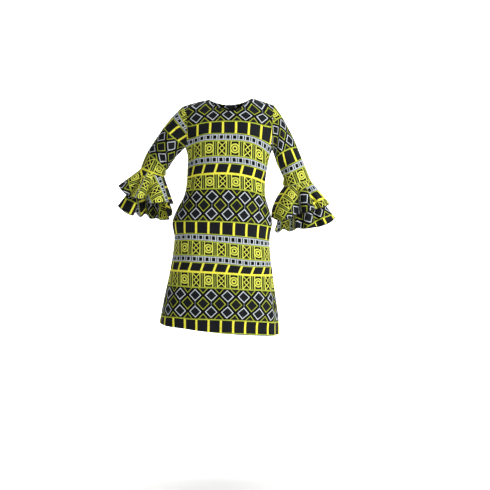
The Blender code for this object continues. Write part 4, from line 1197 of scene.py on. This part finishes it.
plainLeft, plainRight = plainBack[:, : middleColumn + 1], plainBack[:, middleColumn:]
shells = [  # piece, node, flat size, area where it isn't the piece's own, and what is sewn on
    (frontPiece, "front", cutSize(plainFront), None, [sewn["front"]]),
    (backPieces[0], "back_left", cutSize(plainLeft), None, [sewn["backLeft"]]),
    (backPieces[1], "back_right", cutSize(plainRight), None, [sewn["backRight"]]),
    (sleevePieces["left"], "sleeve_left", sleeveCuts["left"], None, []),
    (sleevePieces["right"], "sleeve_right", sleeveCuts["right"], None, []),
]
for name in ("upperLeft", "upperRight", "lowerLeft", "lowerRight"):
    node = "flounce_" + name.replace("L", "_l").replace("R", "_r")
    shells.append((tierPieces[name], node, *ringCut(tierFlats[name]), [tierHems[name]]))
for piece, node, flat, area, extras in shells:
    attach(piece, "dress")
    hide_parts(node)
    area = area or round(surfaceOf(piece), 4)
    print(node, "cut", flat, "area", area, "share", round(area / flat[0] / flat[1], 2))
bagCut, tapeCut = (0.28, 0.215), (0.024, 0.42)  # a bag's two halves side by side, and the zip's tape
for node, flat in (("pocket_left", bagCut), ("pocket_right", bagCut), ("zip_tape", tapeCut)):
    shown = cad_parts[node]
    area = min(round(surfaceOf(shown), 5), flat[0] * flat[1])
    print(node, "cut", flat, "area", area)

# studio
backdrop = {"floor": -1.3, "front": -9, "bend": 6.5, "radius": 1.6, "top": 9, "halfWidth": 14}
mesh = bpy.data.meshes.new("floor")
profile = [(backdrop["front"], backdrop["floor"]), (backdrop["bend"], backdrop["floor"])]
for step in range(1, 13):
    bend = math.radians(90 * step / 12)
    profile.append((
        backdrop["bend"] + backdrop["radius"] * math.sin(bend),
        backdrop["floor"] + backdrop["radius"] * (1 - math.cos(bend)),
    ))
profile.append((backdrop["bend"] + backdrop["radius"], backdrop["top"]))
points = [(x, y, z) for x in (-backdrop["halfWidth"], backdrop["halfWidth"]) for y, z in profile]
count = len(profile)
mesh.from_pydata(points, [], [(i, i + 1, count + i + 1, count + i) for i in range(count - 1)])
mesh.polygons.foreach_set("use_smooth", [True] * (count - 1))
floor = bpy.data.objects.new("floor", mesh)
bpy.context.scene.collection.objects.link(floor)
floor.data.materials.append(plainMaterial("mattPaintedBackdrop", "#f4f4f3", 0.9))

world = bpy.data.worlds.new("softRoomLight")
world.use_nodes = True
world.node_tree.nodes["Background"].inputs["Color"].default_value = (1, 1, 1, 1)
world.node_tree.nodes["Background"].inputs["Strength"].default_value = 0.26
bpy.context.scene.world = world

softboxes = (  # name, place, aim, size in metres, watts
    ("keyLight", (3.4, -2.5, 1.7), (0, 0, -0.4), 1.2, 210),
    ("fillLight", (-0.4, -3.9, 0.9), (0, 0, -0.5), 2.0, 12),
    ("backdropLight", (0, 3.6, 3.6), (0, 7.2, 0.2), 4.0, 620),
    ("floorLight", (0, 3.0, 3.2), (0, 3.6, -1.3), 4.0, 190),
)
for name, place, aim, size, power in softboxes:
    data = bpy.data.lights.new(name, "AREA")
    data.size = size
    data.energy = power
    lamp = bpy.data.objects.new(name, data)
    lamp.location = place
    lamp.rotation_euler = (Vector(aim) - Vector(place)).to_track_quat("-Z", "Y").to_euler()
    bpy.context.scene.collection.objects.link(lamp)

cameraView = {"place": (0.052, -4.0, -0.232), "aim": (0.052, 0, -0.518), "lens": 82.53, "sensor": 36}
cameraData = bpy.data.cameras.new("camera")
cameraData.lens = cameraView["lens"]
cameraData.sensor_width = cameraView["sensor"]
camera = bpy.data.objects.new("camera", cameraData)
camera.location = cameraView["place"]
camera.rotation_euler = (Vector(cameraView["aim"]) - camera.location).to_track_quat("-Z", "Y").to_euler()
bpy.context.scene.collection.objects.link(camera)
bpy.context.scene.camera = camera

bpy.context.scene.view_settings.view_transform = "Standard"
print("scene made")
